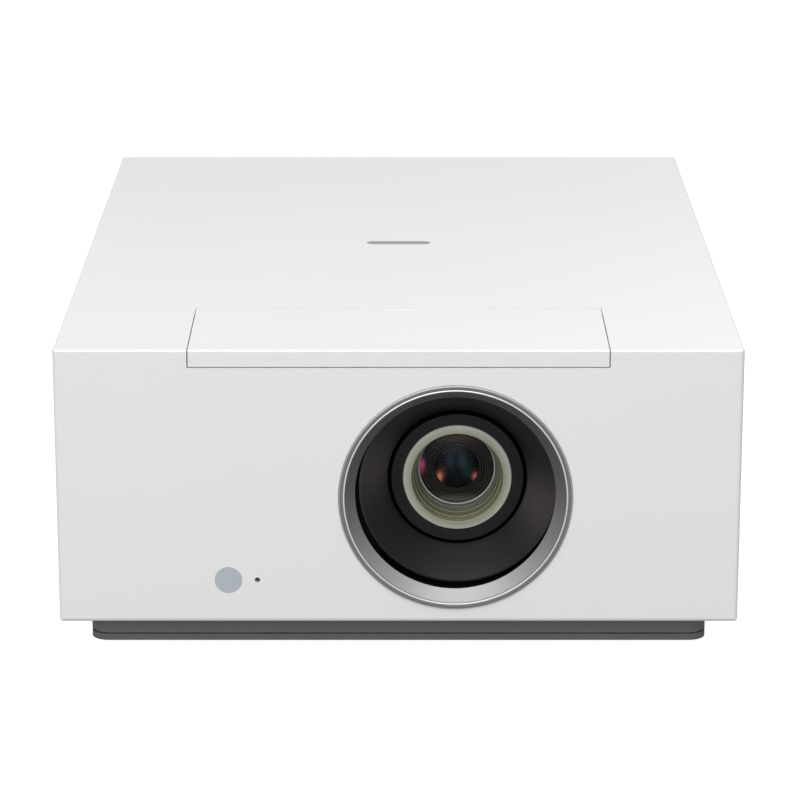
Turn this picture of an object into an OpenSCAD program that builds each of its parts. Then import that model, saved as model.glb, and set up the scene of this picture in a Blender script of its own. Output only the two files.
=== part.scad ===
// Home projector: white case with a lift-up lid over the lens controls,
// a shift carriage for the lens, and the optical engine, cooling and boards inside.
// Units are millimetres. X is right seen from the front, the front faces -Y, Z is up.
// The origin is at the middle of the footprint, on the surface that the feet stand on.

/* [Case] */
// Width of the case
case_w = 310; // [300:1:380]
// Depth of the case from the front face to the rear face
case_d = 409.2; // [400:0.1:500]
// Height of the case above the base
case_h = 129; // [125:1:160]
// Thickness of the front, side and rear walls
case_wall = 3; // [2.4:0.1:4]
// Thickness of the top wall
top_wall = 2.5; // [2:0.1:3.2]
// Thickness of the floor of the case
floor_t = 3; // [2:0.1:5]
// Radius of the four upright edges
upright_r = 2; // [1:0.1:4]
// Radius of the edges round the bottom
bottom_r = 2; // [1:0.1:4]
// Radius of the edges round the top
top_r = 1; // [0.5:0.1:2]
// Gap where one case piece fits inside another
seam = 0.2; // [0.1:0.05:0.4]
// Radius of the screw posts in the case corners
post_r = 4.5; // [3.5:0.1:6]
// Distance of the screw posts from the side walls' outer face
post_inset = 10; // [9:0.5:14]

/* [Base] */
// Height of the base between the feet and the case
base_h = 13.5; // [11:0.5:20]
// Thickness of the plate that closes the base
plate_t = 3; // [2:0.1:4]
// Height of the shadow groove above the plate
groove_h = 0.9; // [0.4:0.1:2]
// Depth of the shadow groove
groove_d = 1.5; // [0.5:0.1:3]
// Distance of the base from the case sides
base_inset = 13; // [10:0.5:30]
// Distance of the base from the case front and rear
base_setback = 13; // [10:0.5:40]
// Radius of the base corners in plan
base_corner = 8; // [4:0.5:20]
// Thickness of the base wall
base_wall = 2.5; // [2:0.1:4]
// Distance of the screw posts from the base's outer face
base_post_inset = 9; // [8:0.5:20]

/* [Feet] */
// Height of the feet
foot_h = 3.5; // [3:0.5:6]
// Radius of the feet
foot_r = 11; // [9:0.5:15]
// Distance of the foot centres from the base sides
foot_inset = 24; // [20:1:40]
// Radius of the levelling screw
foot_screw_r = 4; // [3:0.5:5]
// Radius of the flat head of the levelling screw
foot_head_r = 6; // [5.5:0.5:8]
// Thickness of the flat head of the levelling screw
foot_head_t = 1.2; // [1:0.1:1.5]
// Height of the levelling boss above the base plate
foot_boss_h = 7; // [5:0.5:9]
// Wall round the levelling screw in its boss
foot_boss_wall = 3; // [2:0.5:4]

/* [Ceiling mount] */
// Distance across the four mounting inserts
mount_w = 160; // [100:1:200]
// Distance along the four mounting inserts
mount_d = 200; // [120:1:260]
// Radius of the threaded bore of an insert
insert_bore_r = 2; // [1.5:0.1:3]
// Outer radius of an insert
insert_r = 3.2; // [2.8:0.1:5]
// Length of an insert
insert_h = 8; // [6:0.5:9]
// Wall of the boss round an insert
insert_wall = 2.3; // [1.5:0.1:4]

/* [Side grilles] */
// Length of each grille
grille_l = 240; // [200:1:260]
// Height of each grille
grille_h = 72; // [50:1:80]
// Distance from the front face to each grille
grille_start = 86; // [60:1:120]
// Width of one slot
slot_w = 2.6; // [2:0.1:4]
// Distance from slot to slot
slot_pitch = 6; // [5:0.5:9]
// Border between the slots and the grille edge
grille_border = 6; // [4:0.5:12]
// Width of the flange behind the wall
grille_flange = 3; // [2:0.5:5]
// Thickness of the flange behind the wall
grille_flange_t = 1.6; // [1:0.1:3]

/* [Lid] */
// Width of the lid
lid_w = 188.8; // [170:0.1:220]
// Depth of the lid from the front face
lid_d = 74; // [70:0.5:90]
// Height of the lid's front lip
lip_h = 7.8; // [6:0.1:8.5]
// Gap round the lid
lid_gap = 0.5; // [0.3:0.05:1]
// Radius of the knuckle along the lid's rear edge
knuckle_r = 2; // [1.8:0.1:2.4]
// Clearance between the knuckle and the case
knuckle_gap = 0.35; // [0.3:0.05:0.6]
// Radius of the hinge pins
lid_pin_r = 0.9; // [0.6:0.05:1]
// Length of the hinge pins in the lid
lid_pin_in = 4; // [3:0.5:8]
// Width of the press mark at the rear of the lid
mark_w = 14; // [10:0.5:24]
// Length of the press mark
mark_d = 7; // [4:0.5:12]
// Depth of the press mark
mark_t = 0.3; // [0.1:0.1:0.6]

/* [Adjuster tray] */
// Wall of the tray
tray_wall = 2; // [1.5:0.1:3]
// Extra room round a lever or a dial in its slot
slot_room = 1; // [0.6:0.1:2]

/* [Lens opening] */
// Distance of the lens axis right of the middle
lens_x = 27.1; // [20:0.1:34]
// Distance of the bezel and tunnel left of the lens axis
opening_offset = 1.3; // [0:0.1:1.6]
// Distance of the lens axis below the top of the case
lens_drop = 69.5; // [69:0.5:76]
// Outer radius of the bezel
bezel_r = 53; // [50:0.5:54]
// Width of the bezel's flat front rim
bezel_rim = 2.6; // [1.5:0.1:4]
// How far the bezel stands proud of the front face
bezel_proud = 0.8; // [0.4:0.1:2]
// Width of the bezel from its outside to its inner lip
bezel_w = 7.4; // [6:0.1:9]
// Depth of the bezel's inner lip behind the front face
bezel_depth = 7; // [5:0.5:10]
// How far the tunnel's inner wall lies inside the bezel's outside
tunnel_lap = 2.2; // [1:0.1:3]
// Wall of the tunnel
tunnel_wall = 4.3; // [3:0.1:5]
// Width of the tunnel's flange beyond the tunnel's own wall
tunnel_flange = 1.2; // [1:0.1:1.4]
// Thickness of the tunnel's flange and back plate
tunnel_t = 2; // [1.5:0.1:3]
// Clear width between the barrel's front and the hole in the tunnel's back plate
tunnel_back_gap = 8.8; // [8:0.1:12]
// How far the shroud's mouth lies inside the bezel's lip
mouth_gap = 1.2; // [1:0.1:3]
// Gap between the barrel's front ring and the shroud's throat
throat_gap = 1.9; // [0.8:0.1:2.5]
// Depth of the shroud's mouth behind the front face
shroud_mouth_depth = 15; // [12:0.5:18]
// Depth of the shroud's throat behind the front face
shroud_throat_depth = 32; // [30:0.5:34]
// Wall of the shroud
shroud_wall = 0.8; // [0.6:0.1:1.5]
// Length of the shroud's collar on the barrel
collar_l = 3; // [2:0.5:4]
// Distance of the tunnel's back plate behind the front face
tunnel_depth = 39; // [38:0.5:42]

/* [Lens barrel] */
// How far the barrel's front ring stands out from the barrel
front_ring_step = 1; // [0.6:0.1:1.6]
// Radius of the barrel under the rings
barrel_r = 29.4; // [28.5:0.1:29.8]
// How far the barrel steps in behind the carriage
rear_step = 2.4; // [1:0.1:3]
// Wall of the barrel round its front bore
front_wall = 4.1; // [3:0.1:5]
// Wall of the barrel round its rear bore
rear_wall = 3; // [2:0.1:4]
// Depth of the barrel's front face behind the front face of the case
barrel_depth = 31; // [30:0.5:32]
// Length of the barrel
barrel_l = 78; // [76:0.5:84]
// Radial clearance of every sliding or turning fit
run_fit = 0.05; // [0.02:0.01:0.1]
// Wall of the focus and zoom rings
ring_wall = 4.1; // [3:0.1:4.6]
// Width of the focus and zoom rings
ring_w = 9.6; // [8:0.1:10]
// Width of a lever
lever_w = 6; // [4:0.5:8]
// Thickness of a lever
lever_t = 4; // [3:0.1:5]
// Distance of a lever's tip from the lens axis
lever_r = 56; // [50:0.5:57]
// Angle that a lever turns each way
lever_turn = 30; // [15:1:32]
// Distance that the focus group moves each way
focus_travel = 1.5; // [1:0.1:1.8]
// Distance that the zoom group moves each way
zoom_travel = 8; // [4:0.5:8.5]

/* [Lens groups] */
// Width of the pale ring behind the front glass
cell_w = 4.4; // [3:0.1:6]
// Thickness of the pale ring
cell_t = 2; // [1:0.1:3]
// Width of the front baffle's middle step
baffle_step_w = 3.4; // [2:0.1:5]
// Width of the front baffle's stop
baffle_stop_w = 5.4; // [3:0.1:7]
// Length of the front baffle
baffle_l = 12.6; // [10:0.1:13]
// Radius of curvature of the front glass
front_curve = 70; // [60:1:120]
// Radius of curvature of the back of the front glass
back_curve = 50; // [40:1:80]
// Thickness of the front glass at its middle
front_glass_t = 3; // [2:0.1:4]
// Thickness of the front glass at its rim
front_rim_t = 1; // [0.8:0.1:2]
// Wall of the zoom group's cell
zoom_cell_w = 6; // [3:0.5:8]
// Length of the zoom group's cell
zoom_cell_l = 16; // [12:0.5:18]
// Wall of the rear group's cell
rear_cell_w = 7; // [3:0.5:9]
// Length of the rear group's cell
rear_cell_l = 13; // [10:0.5:16]
// Radius of curvature of the inner glass faces
inner_curve = 40; // [30:1:60]

/* [Lens shift] */
// Distance that the lens shifts sideways each way
shift_x = 2.5; // [1:0.1:2.5]
// Distance that the lens shifts up and down each way
shift_z = 3.5; // [1:0.1:3.5]
// Radius of the guide rods
rod_r = 2; // [1.5:0.1:2.4]
// Radius of the two shift screws
screw_r = 3; // [2:0.1:3.5]
// Radius of the sideways dial
dial_r = 12; // [10:0.5:13]
// Width of the sideways dial
dial_w = 8; // [6:0.5:10]
// Radius of the upright dial
knob_r = 9; // [7:0.5:10]
// Height of the upright dial
knob_h = 10; // [8:0.5:14]
// Thickness of the upright carriage
carriage_t = 8; // [6:0.5:9]
// Thickness of the sideways carriage
slide_t = 6; // [5:0.5:8]
// Thickness of the carriage lugs
lug_t = 6; // [4:0.5:8]
// Thickness of the fixed lens frame
frame_t = 4; // [3:0.5:6]

/* [Front sensors] */
// Distance of the receiver window left of the middle
window_x = 77.5; // [60:0.5:100]
// Height of the receiver window above the case bottom
window_z = 20.3; // [14:0.1:40]
// Radius of the receiver window
window_r = 6.1; // [4:0.1:8]
// Distance between the receiver window and the microphone hole
mic_spacing = 13.2; // [11:0.1:20]
// Radius of the microphone hole
mic_r = 1.27; // [0.8:0.01:2]

/* [Optical engine] */
// Length of the engine housing along the illumination path
engine_l = 155; // [150:1:160]
// Depth of the engine housing
engine_d = 46; // [45:1:52]
// Height of the engine housing
engine_h = 64; // [60:1:70]
// Wall of the engine housing
engine_wall = 3; // [2:0.1:4]
// Edge length of the prism
prism_l = 28; // [22:0.5:28]
// Air gap between the two halves of the prism
prism_gap = 0.4; // [0.2:0.1:1]
// Width of the imager board
imager_w = 60; // [50:1:70]
// Height of the imager board
imager_h = 50; // [40:1:60]
// Thickness of every circuit board
board_t = 1.6; // [1:0.1:2.4]
// Depth of the imager heat sink
imager_sink_d = 32; // [20:1:40]
// Thickness of a heat sink's base
sink_base_t = 5; // [3:0.5:6]
// Thickness of a heat sink fin
fin_t = 1.4; // [1:0.1:2]
// Number of fins on a heat sink
fin_count = 10; // [6:1:14]
// Radius of the phosphor wheel
wheel_r = 19; // [15:0.5:20]
// Thickness of the phosphor wheel
wheel_t = 1.5; // [1:0.1:2]
// Radius of the wheel motor
motor_r = 9; // [6:0.5:10]
// Length of the wheel motor
motor_l = 10; // [8:0.5:12]
// Radius of the relay lenses
relay_r = 12; // [9:0.5:14]

/* [Cooling] */
// Edge length of a fan
fan_w = 80; // [60:1:92]
// Thickness of a fan
fan_t = 15; // [12:1:20]
// Radius of the fan's airway
fan_bore_r = 38; // [28:0.5:44]
// Radius of the fan's hub
hub_r = 14; // [10:0.5:18]
// Number of blades
blade_count = 9; // [5:1:13]
// Angle of the blades
blade_tilt = 35; // [20:1:50]
// Clearance between the blade tips and the airway
tip_gap = 1.5; // [0.8:0.1:3]

/* [Sound] */
// Depth of a speaker box
speaker_d = 33; // [25:1:45]
// Length of a speaker box
speaker_l = 68; // [60:1:80]
// Height of a speaker box
speaker_h = 70; // [60:1:80]
// Radius of the speaker cone
cone_r = 28; // [20:0.5:32]
// Depth of the speaker cone
cone_depth = 12; // [8:0.5:16]

/* [Rear panel] */
// Height of the socket row above the case bottom
socket_z = 28; // [25:0.5:34]
// Length of a socket
socket_l = 14; // [12:0.5:16]
// Width of the mains inlet
mains_w = 28; // [27:0.5:30]
// Height of the mains inlet
mains_h = 20; // [19.5:0.5:22]
// Distance of the mains inlet from the middle
mains_x = 100; // [80:1:110]
// Radius of the power button
button_r = 6; // [4:0.5:8]
// Travel of the power button
button_travel = 1.2; // [0.8:0.1:1.5]
// Clearance round the power button
button_gap = 0.3; // [0.3:0.05:0.5]

/* [Hidden] */
$fn = 64;
cut = 1;

base_z = foot_h;
plate_top = base_z + plate_t;
case_z = foot_h + base_h;
floor_top = case_z + floor_t;
case_top = case_z + case_h;
roof_z = case_top - top_wall;

front_y = -(case_d + bezel_proud) / 2 + bezel_proud;
rear_y = front_y + case_d;
inner_x = case_w / 2 - case_wall;
inner_front = front_y + case_wall;
inner_rear = rear_y - case_wall;

lens_z = case_top - lens_drop;
opening_x = lens_x - opening_offset;
bezel_lip_r = bezel_r - bezel_w;
tunnel_r = bezel_r - tunnel_lap;
barrel_front_r = barrel_r + front_ring_step;
tunnel_back_r = barrel_front_r + tunnel_back_gap;
front_bore_r = barrel_r - front_wall;
barrel_rear_r = barrel_r - rear_step;
rear_bore_r = barrel_rear_r - rear_wall;
ring_r = barrel_r + ring_wall;
shroud_mouth_r = bezel_lip_r - mouth_gap;
shroud_throat_r = barrel_front_r + throat_gap;
cell_r = front_bore_r - cell_w;
baffle_front_r = cell_r - 1.5;
baffle_step_r = baffle_front_r - baffle_step_w;
baffle_stop_r = baffle_step_r - baffle_stop_w;
zoom_glass_r = rear_bore_r - zoom_cell_w;
rear_glass_r = rear_bore_r - rear_cell_w;

base_w = case_w - 2 * base_inset;
base_d = case_d - 2 * base_setback;
base_y = (front_y + rear_y) / 2;
foot_x = base_w / 2 - foot_inset;
foot_front_y = base_y - base_d / 2 + foot_inset;
foot_rear_y = base_y + base_d / 2 - foot_inset;

hinge_y = front_y + lid_d - knuckle_r;
hinge_z = case_top - knuckle_r;
boss_half = 4;
boss_w = 5;

tray_x = lid_w / 2 + lid_gap + tray_wall;
tray_front = inner_front + lid_gap;
tray_rear = hinge_y - boss_half - lid_gap;
tray_z = lens_z + ring_r + shift_z + 0.5;
tray_top = tray_z + tray_wall;
shelf_z = lens_z + tunnel_r + tunnel_wall + 0.4;
well_front = front_y + tunnel_depth + 0.2;

barrel_y = front_y + barrel_depth;
flange_y = barrel_y + 7;
focus_y = flange_y + 2.3;
zoom_y = focus_y + ring_w + 0.3;
carriage_y = zoom_y + ring_w + 0.5;
slide_y = carriage_y + carriage_t + 3;
frame_y = slide_y + slide_t + 4;
barrel_end = barrel_y + barrel_l;
glass_rise = front_curve - sqrt(front_curve * front_curve - front_bore_r * front_bore_r);
glass_back = barrel_y + glass_rise + front_rim_t;
cell_back = glass_back + cell_t;
baffle_end = cell_back + baffle_l;
zoom_group_y = baffle_end + focus_travel + zoom_travel + 1.5;

rod_x = 44;
rod_z = 38;
rod_y = carriage_y + carriage_t / 2;
slide_left = lens_x - 80;
slide_right = lens_x + 52;
slide_half_h = rod_z + 5;
cheek_gap = 4;
cheek_left = slide_left - cheek_gap - frame_t;
cheek_right = slide_right + 2 + cheek_gap;

dial_y = well_front + tray_wall + dial_r + 0.3;
dial_z = tray_z - 6;
dial_x = slide_left - 16;
dial_bracket_t = 3;
dial_bracket_gap = 4;
nut_w = 10;
nut_reach = 5;
nut_x = slide_left + nut_w / 2;
knob_x = lens_x - 58;
knob_lug_w = 12;
lug_low = 24;

engine_y = barrel_end + 1.2;
engine_x = lens_x + 30;
engine_left = engine_x - engine_l;
engine_z = lens_z - engine_h / 2;
axis_y = engine_y + engine_d / 2;
imager_y = engine_y + engine_d;
sink_y = imager_y + board_t;
beam_r = 20;
wheel_x = lens_x - 88;
wheel_z = lens_z - 8;
laser_l = 12;
laser_w = 34;
laser_h = 44;
laser_sink_l = 18;

fan_y = axis_y;
fan_z = lens_z;
fan_x = inner_x - grille_flange_t;
grille_y = front_y + grille_start;
grille_z = (case_z + case_top) / 2 - grille_h / 2;
speaker_y = grille_y + grille_l - grille_border - speaker_l;

board_y = rear_y - socket_l - board_t;
board_left = -24;
board_w = 150;
board_h = 86;
supply_w = 112;
supply_d = 116;
supply_x = -fan_x + speaker_d + 4;
supply_y = inner_rear - supply_d - 18;
supply_post = 8;
lan_x = 74;
jack_x = 100;
button_x = 116;
button_back = inner_rear - 6;
jack_bore_r = 1.8;
sensor_gap = 4;
sensor_x = -window_x + (mic_spacing - 3) / 2;
sensor_post_x = mic_spacing / 2 + 8;
case_screw_r = 1.5;
case_head_r = 3;
case_head_h = 1.8;
case_screw_l = 12;
rear_slot_rows = 4;
rear_slot_l = 90;
rear_slot_x = 70;
motor_shaft_r = 1.5;
lan_w = 17;
lan_h = 15;
jack_r = 4;
video_socket_w = 17;
video_socket_h = 8;
data_socket_w = 15;
data_socket_h = 8;
socket_wall = 1.2;
signal_list = [[-8, video_socket_w, video_socket_h], [16, video_socket_w, video_socket_h],
    [38, data_socket_w, data_socket_h], [56, data_socket_w, data_socket_h]];

// ---- Shared shapes ----

// Rectangle on the X axis with its own radius at the low and at the high corners.
module rounded(w, h, low_r, high_r) {
    polygon([[-w / 2 + low_r, 0], [w / 2 - low_r, 0], [w / 2, low_r], [w / 2, h - high_r],
        [w / 2 - high_r, h], [-w / 2 + high_r, h], [-w / 2, h - high_r], [-w / 2, low_r]]);
    for (side = [-1, 1]) {
        translate([side * (w / 2 - low_r), low_r]) circle(low_r);
        translate([side * (w / 2 - high_r), h - high_r]) circle(high_r);
    }
}

// Block given by its low corner and its high corner.
module block(low, high) {
    translate(low) cube(high - low);
}

// Cylinder along +Y from a point.
module rod_along_y(at, r, l) {
    translate(at) rotate([-90, 0, 0]) cylinder(h = l, r = r);
}

// Cylinder along +X from a point.
module rod_along_x(at, r, l) {
    translate(at) rotate([0, 90, 0]) cylinder(h = l, r = r);
}

// Ring along +Y about the lens axis, from one Y to another.
module lens_ring(y0, y1, inner_r, outer_r) {
    translate([lens_x, y0, lens_z]) rotate([-90, 0, 0]) difference() {
        cylinder(h = y1 - y0, r = outer_r);
        translate([0, 0, -cut]) cylinder(h = y1 - y0 + 2 * cut, r = inner_r);
    }
}

// Outline of radius and Y turned about an axis at the lens height, by default the lens axis.
module lens_turned(outline, x = lens_x) {
    translate([x, 0, lens_z]) rotate([-90, 0, 0]) rotate_extrude() polygon(outline);
}

// Glass disc along +Z between two faces that bulge outwards.
module bulged_disc(r, edge_t, curve) {
    rise = curve - sqrt(curve * curve - r * r);
    intersection() {
        translate([0, 0, -rise]) cylinder(h = edge_t + 2 * rise, r = r);
        translate([0, 0, curve - rise]) sphere(curve);
        translate([0, 0, edge_t + rise - curve]) sphere(curve);
    }
}

// Places something at the four corner posts of the case.
module at_case_posts() {
    for (side = [-1, 1])
        for (y = [front_y + post_inset + 2, rear_y - post_inset - case_wall])
            translate([side * (case_w / 2 - post_inset), y, 0]) children();
}

// Places something at the four corner posts of the base.
module at_base_posts() {
    for (side = [-1, 1])
        for (y = [base_y - base_d / 2 + base_post_inset, base_y + base_d / 2 - base_post_inset])
            translate([side * (base_w / 2 - base_post_inset), y, 0]) children();
}

// Places something at the four ceiling-mount inserts.
module at_inserts() {
    for (side = [-1, 1])
        for (end = [-1, 1])
            translate([side * mount_w / 2, base_y + end * mount_d / 2, base_z]) children();
}

// ---- Case ----

// Outer form of the case: three rounded outlines crossed.
module case_form() {
    intersection() {
        translate([0, front_y, case_z]) linear_extrude(case_h)
            rounded(case_w, case_d, upright_r, upright_r);
        translate([0, rear_y, case_z]) rotate([90, 0, 0]) linear_extrude(case_d)
            rounded(case_w, case_h, bottom_r, top_r);
        translate([-case_w / 2, (front_y + rear_y) / 2, case_z]) rotate([90, 0, 90])
            linear_extrude(case_w) rounded(case_d, case_h, bottom_r, top_r);
    }
}

// Room that the lid and its knuckle take out of the case.
module lid_room() {
    half = lid_w / 2 + lid_gap;
    turn_r = knuckle_r + knuckle_gap;
    block([-half, front_y - cut, case_top - lip_h - lid_gap], [half, hinge_y, case_top + cut]);
    block([-half, hinge_y - cut, hinge_z], [half, hinge_y + turn_r, case_top + cut]);
    rod_along_x([-half, hinge_y, hinge_z], turn_r, 2 * half);
}

module upper_case() {
    boss_x = lid_w / 2 + lid_gap;
    color("white") difference() {
        union() {
            difference() {
                case_form();
                block([-inner_x, inner_front, case_z - cut], [inner_x, rear_y + cut, roof_z]);
                lid_room();
            }
            at_case_posts() translate([0, 0, floor_top]) cylinder(h = roof_z + cut - floor_top, r = post_r);
            for (side = [-1, 1])
                rod_along_y([sensor_x + side * sensor_post_x, inner_front - cut / 2,
                    case_z + window_z + side * 8], 2, sensor_gap + cut / 2);
            for (side = [-1, 1])
                translate([side * (boss_x + boss_w / 2), hinge_y, 0])
                    block([-boss_w / 2, -boss_half, hinge_z - boss_half],
                        [boss_w / 2, boss_half, case_top - top_wall / 2]);
        }
        rod_along_y([opening_x, front_y - cut, lens_z], bezel_r + seam, case_wall + 2 * cut);
        rod_along_y([-window_x, front_y - cut, case_z + window_z], window_r + seam / 2, case_wall + 2 * cut);
        rod_along_y([-window_x + mic_spacing, front_y - cut, case_z + window_z], mic_r, case_wall + 2 * cut);
        rod_along_x([-boss_x - boss_w + cut, hinge_y, hinge_z], lid_pin_r, 2 * (boss_x + boss_w - cut));
        block([-case_w / 2 - cut, grille_y - seam, grille_z - seam],
            [case_w / 2 + cut, grille_y + grille_l + seam, grille_z + grille_h + seam]);
        at_case_posts() translate([0, 0, floor_top - cut])
            cylinder(h = case_screw_l + cut, r = case_screw_r);
    }
}

module rear_panel() {
    color("whitesmoke") difference() {
        block([-inner_x + seam, inner_rear, floor_top], [inner_x - seam, rear_y, roof_z - seam]);
        signal_cutouts();
        block([lan_x - lan_w / 2, inner_rear - cut, case_z + socket_z - lan_h / 2],
            [lan_x + lan_w / 2, rear_y + cut, case_z + socket_z + lan_h / 2]);
        rod_along_y([jack_x, inner_rear - cut, case_z + socket_z], jack_r, case_wall + 2 * cut);
        block([-mains_x - mains_w / 2, inner_rear - cut, case_z + socket_z - mains_h / 2],
            [-mains_x + mains_w / 2, rear_y + cut, case_z + socket_z + mains_h / 2]);
        rod_along_y([button_x, inner_rear - cut, case_z + socket_z], button_r + button_gap,
            case_wall + 2 * cut);
        for (row = [0:rear_slot_rows - 1])
            for (side = [-1, 1])
                translate([side * rear_slot_x, 0, roof_z - 14 - row * slot_pitch])
                    block([-rear_slot_l / 2, inner_rear - cut, 0], [rear_slot_l / 2, rear_y + cut, slot_w]);
    }
}

module bottom_case() {
    color("gainsboro") difference() {
        union() {
            block([-inner_x + seam, inner_front + seam, case_z], [inner_x - seam, rear_y - seam, floor_top]);
            for (x = [supply_x + 6, supply_x + supply_w - 6])
                for (y = [supply_y + 6, supply_y + supply_d - 6])
                    translate([x, y, case_z]) cylinder(h = floor_t + supply_post, r = 4);
        }
        at_case_posts() {
            translate([0, 0, case_z - cut]) cylinder(h = case_head_h + cut, r = case_head_r);
            translate([0, 0, case_z - cut]) cylinder(h = floor_t + 2 * cut, r = case_screw_r);
        }
        at_base_posts() translate([0, 0, case_z - cut]) cylinder(h = floor_t + 2 * cut, r = case_screw_r);
    }
}

// One side grille, for the side wall at +X.
module grille() {
    count = floor((grille_l - 2 * grille_border + slot_pitch - slot_w) / slot_pitch);
    start = grille_y + (grille_l - count * slot_pitch + slot_pitch - slot_w) / 2;
    difference() {
        union() {
            block([inner_x, grille_y, grille_z], [case_w / 2, grille_y + grille_l, grille_z + grille_h]);
            block([inner_x - grille_flange_t, grille_y - grille_flange, grille_z - grille_flange],
                [inner_x, grille_y + grille_l + grille_flange, grille_z + grille_h + grille_flange]);
        }
        for (i = [0:count - 1])
            translate([0, start + i * slot_pitch, 0])
                block([inner_x - grille_flange_t - cut, 0, grille_z + grille_border],
                    [case_w / 2 + cut, slot_w, grille_z + grille_h - grille_border]);
    }
}

module right_grille() { color("lightgray") grille(); }
module left_grille() { color("lightgray") mirror([1, 0, 0]) grille(); }

// ---- Base and feet ----

// Outline of the base in plan, drawn in by a distance.
module base_outline(inset) {
    r = base_corner - inset;
    translate([0, base_y - base_d / 2 + inset]) rounded(base_w - 2 * inset, base_d - 2 * inset, r, r);
}

module base_plinth() {
    wall_z = plate_top + groove_h;
    web_end = groove_d + 0.5;
    web_l = base_post_inset - web_end;
    color("dimgray") difference() {
        union() {
            translate([0, 0, wall_z]) linear_extrude(case_z - wall_z) difference() {
                base_outline(0);
                base_outline(base_wall + groove_d);
            }
            translate([0, 0, plate_top]) linear_extrude(groove_h + cut) difference() {
                base_outline(groove_d);
                base_outline(base_wall + groove_d);
            }
            at_base_posts() translate([0, 0, plate_top]) cylinder(h = case_z - plate_top, r = post_r);
            for (side = [-1, 1])
                for (end = [-1, 1])
                    translate([side * (base_w / 2 - web_end - web_l / 2),
                        base_y + end * (base_d / 2 - base_post_inset), (plate_top + case_z) / 2])
                        cube([web_l, base_wall, case_z - plate_top], center = true);
        }
        at_base_posts() translate([0, 0, base_z]) cylinder(h = base_h + cut, r = case_screw_r);
    }
}

module base_plate() {
    color("gray") difference() {
        union() {
            translate([0, 0, base_z]) linear_extrude(plate_t) base_outline(0);
            at_inserts() cylinder(h = insert_h + 1, r = insert_r + insert_wall);
            for (side = [-1, 1])
                translate([side * foot_x, foot_front_y, base_z])
                    cylinder(h = plate_t + foot_boss_h, r = foot_screw_r + foot_boss_wall);
        }
        at_inserts() translate([0, 0, -cut]) cylinder(h = insert_h + cut, r = insert_r);
        for (side = [-1, 1])
            translate([side * foot_x, foot_front_y, base_z - cut])
                cylinder(h = base_h, r = foot_screw_r + run_fit);
        at_base_posts() {
            translate([0, 0, base_z - cut]) cylinder(h = case_head_h + cut, r = case_head_r);
            translate([0, 0, base_z - cut]) cylinder(h = base_h, r = case_screw_r);
        }
    }
}

// Rubber pad that turns freely on the flat head of its levelling screw.
module foot_pad() {
    head_z = 0.9;
    color("black") difference() {
        rotate_extrude() polygon([[0, 0], [foot_r - 1, 0], [foot_r, 1], [foot_r, foot_h], [0, foot_h]]);
        translate([0, 0, head_z]) cylinder(h = foot_head_t + 2 * run_fit, r = foot_head_r + run_fit);
        translate([0, 0, head_z]) cylinder(h = foot_h, r = foot_screw_r + run_fit);
    }
}

// Levelling screw with its flat head.
module foot_screw() {
    head_z = 0.9 + run_fit;
    color("silver") union() {
        translate([0, 0, head_z]) cylinder(h = foot_head_t, r = foot_head_r);
        translate([0, 0, head_z]) cylinder(h = case_z - 1 - head_z, r = foot_screw_r);
    }
}

module left_foot_pad() { translate([-foot_x, foot_front_y, 0]) foot_pad(); }
module left_foot_screw() { translate([-foot_x, foot_front_y, 0]) foot_screw(); }
module right_foot_pad() { translate([foot_x, foot_front_y, 0]) foot_pad(); }
module right_foot_screw() { translate([foot_x, foot_front_y, 0]) foot_screw(); }

module rear_feet() {
    color("black") for (side = [-1, 1])
        translate([side * foot_x, foot_rear_y, 0])
            rotate_extrude() polygon([[0, 0], [foot_r - 1, 0], [foot_r, 1], [foot_r, foot_h], [0, foot_h]]);
}

module mount_inserts() {
    color("gold") at_inserts() difference() {
        cylinder(h = insert_h, r = insert_r);
        translate([0, 0, -cut]) cylinder(h = insert_h + 2 * cut, r = insert_bore_r);
    }
}

// Screw standing on its head, with a cross-shaped recess in the head.
module case_screw(shank_l) {
    recess_w = 0.8;
    difference() {
        union() {
            cylinder(h = case_head_h, r = case_head_r);
            cylinder(h = case_head_h + shank_l, r = case_screw_r);
        }
        for (turn = [0, 90])
            rotate([0, 0, turn]) translate([-case_head_r * 0.6, -recess_w / 2, -cut])
                cube([case_head_r * 1.2, recess_w, cut + recess_w]);
    }
}

module case_screws() {
    color("silver") {
        at_case_posts() translate([0, 0, case_z]) case_screw(floor_t - case_head_h + case_screw_l - 1);
        at_base_posts() translate([0, 0, base_z]) case_screw(base_h - case_head_h + floor_t);
    }
}

// ---- Lid and tray ----

module adjustment_lid() {
    half = lid_w / 2;
    color("white") difference() {
        union() {
            intersection() {
                case_form();
                union() {
                    block([-half, front_y - cut, roof_z], [half, hinge_y, case_top + cut]);
                    block([-half, front_y - cut, case_top - lip_h], [half, inner_front, case_top + cut]);
                }
            }
            rod_along_x([-half, hinge_y, hinge_z], knuckle_r, lid_w);
        }
        for (side = [-1, 1])
            rod_along_x([side * half - lid_pin_in, hinge_y, hinge_z], lid_pin_r + run_fit, 2 * lid_pin_in);
        block([-mark_w / 2, hinge_y - mark_d, case_top - mark_t], [mark_w / 2, hinge_y, case_top + cut]);
    }
}

module lid_hinge_pins() {
    reach = lid_gap + boss_w - cut;
    color("silver") for (side = [-1, 1])
        translate([side * (lid_w / 2 + (reach - lid_pin_in + 1) / 2), hinge_y, hinge_z]) rotate([0, 90, 0])
            cylinder(h = reach + lid_pin_in - 1, r = lid_pin_r, center = true);
}

// Slot in the tray floor that one lever sweeps.
module lever_slot(y0) {
    sweep = lever_r * sin(lever_turn) + lever_w / 2 + shift_x + slot_room;
    middle = y0 + ring_w / 2;
    block([lens_x - sweep, middle - lever_t / 2 - slot_room, tray_z - cut],
        [lens_x + sweep, middle + lever_t / 2 + slot_room, tray_top + cut]);
}

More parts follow.
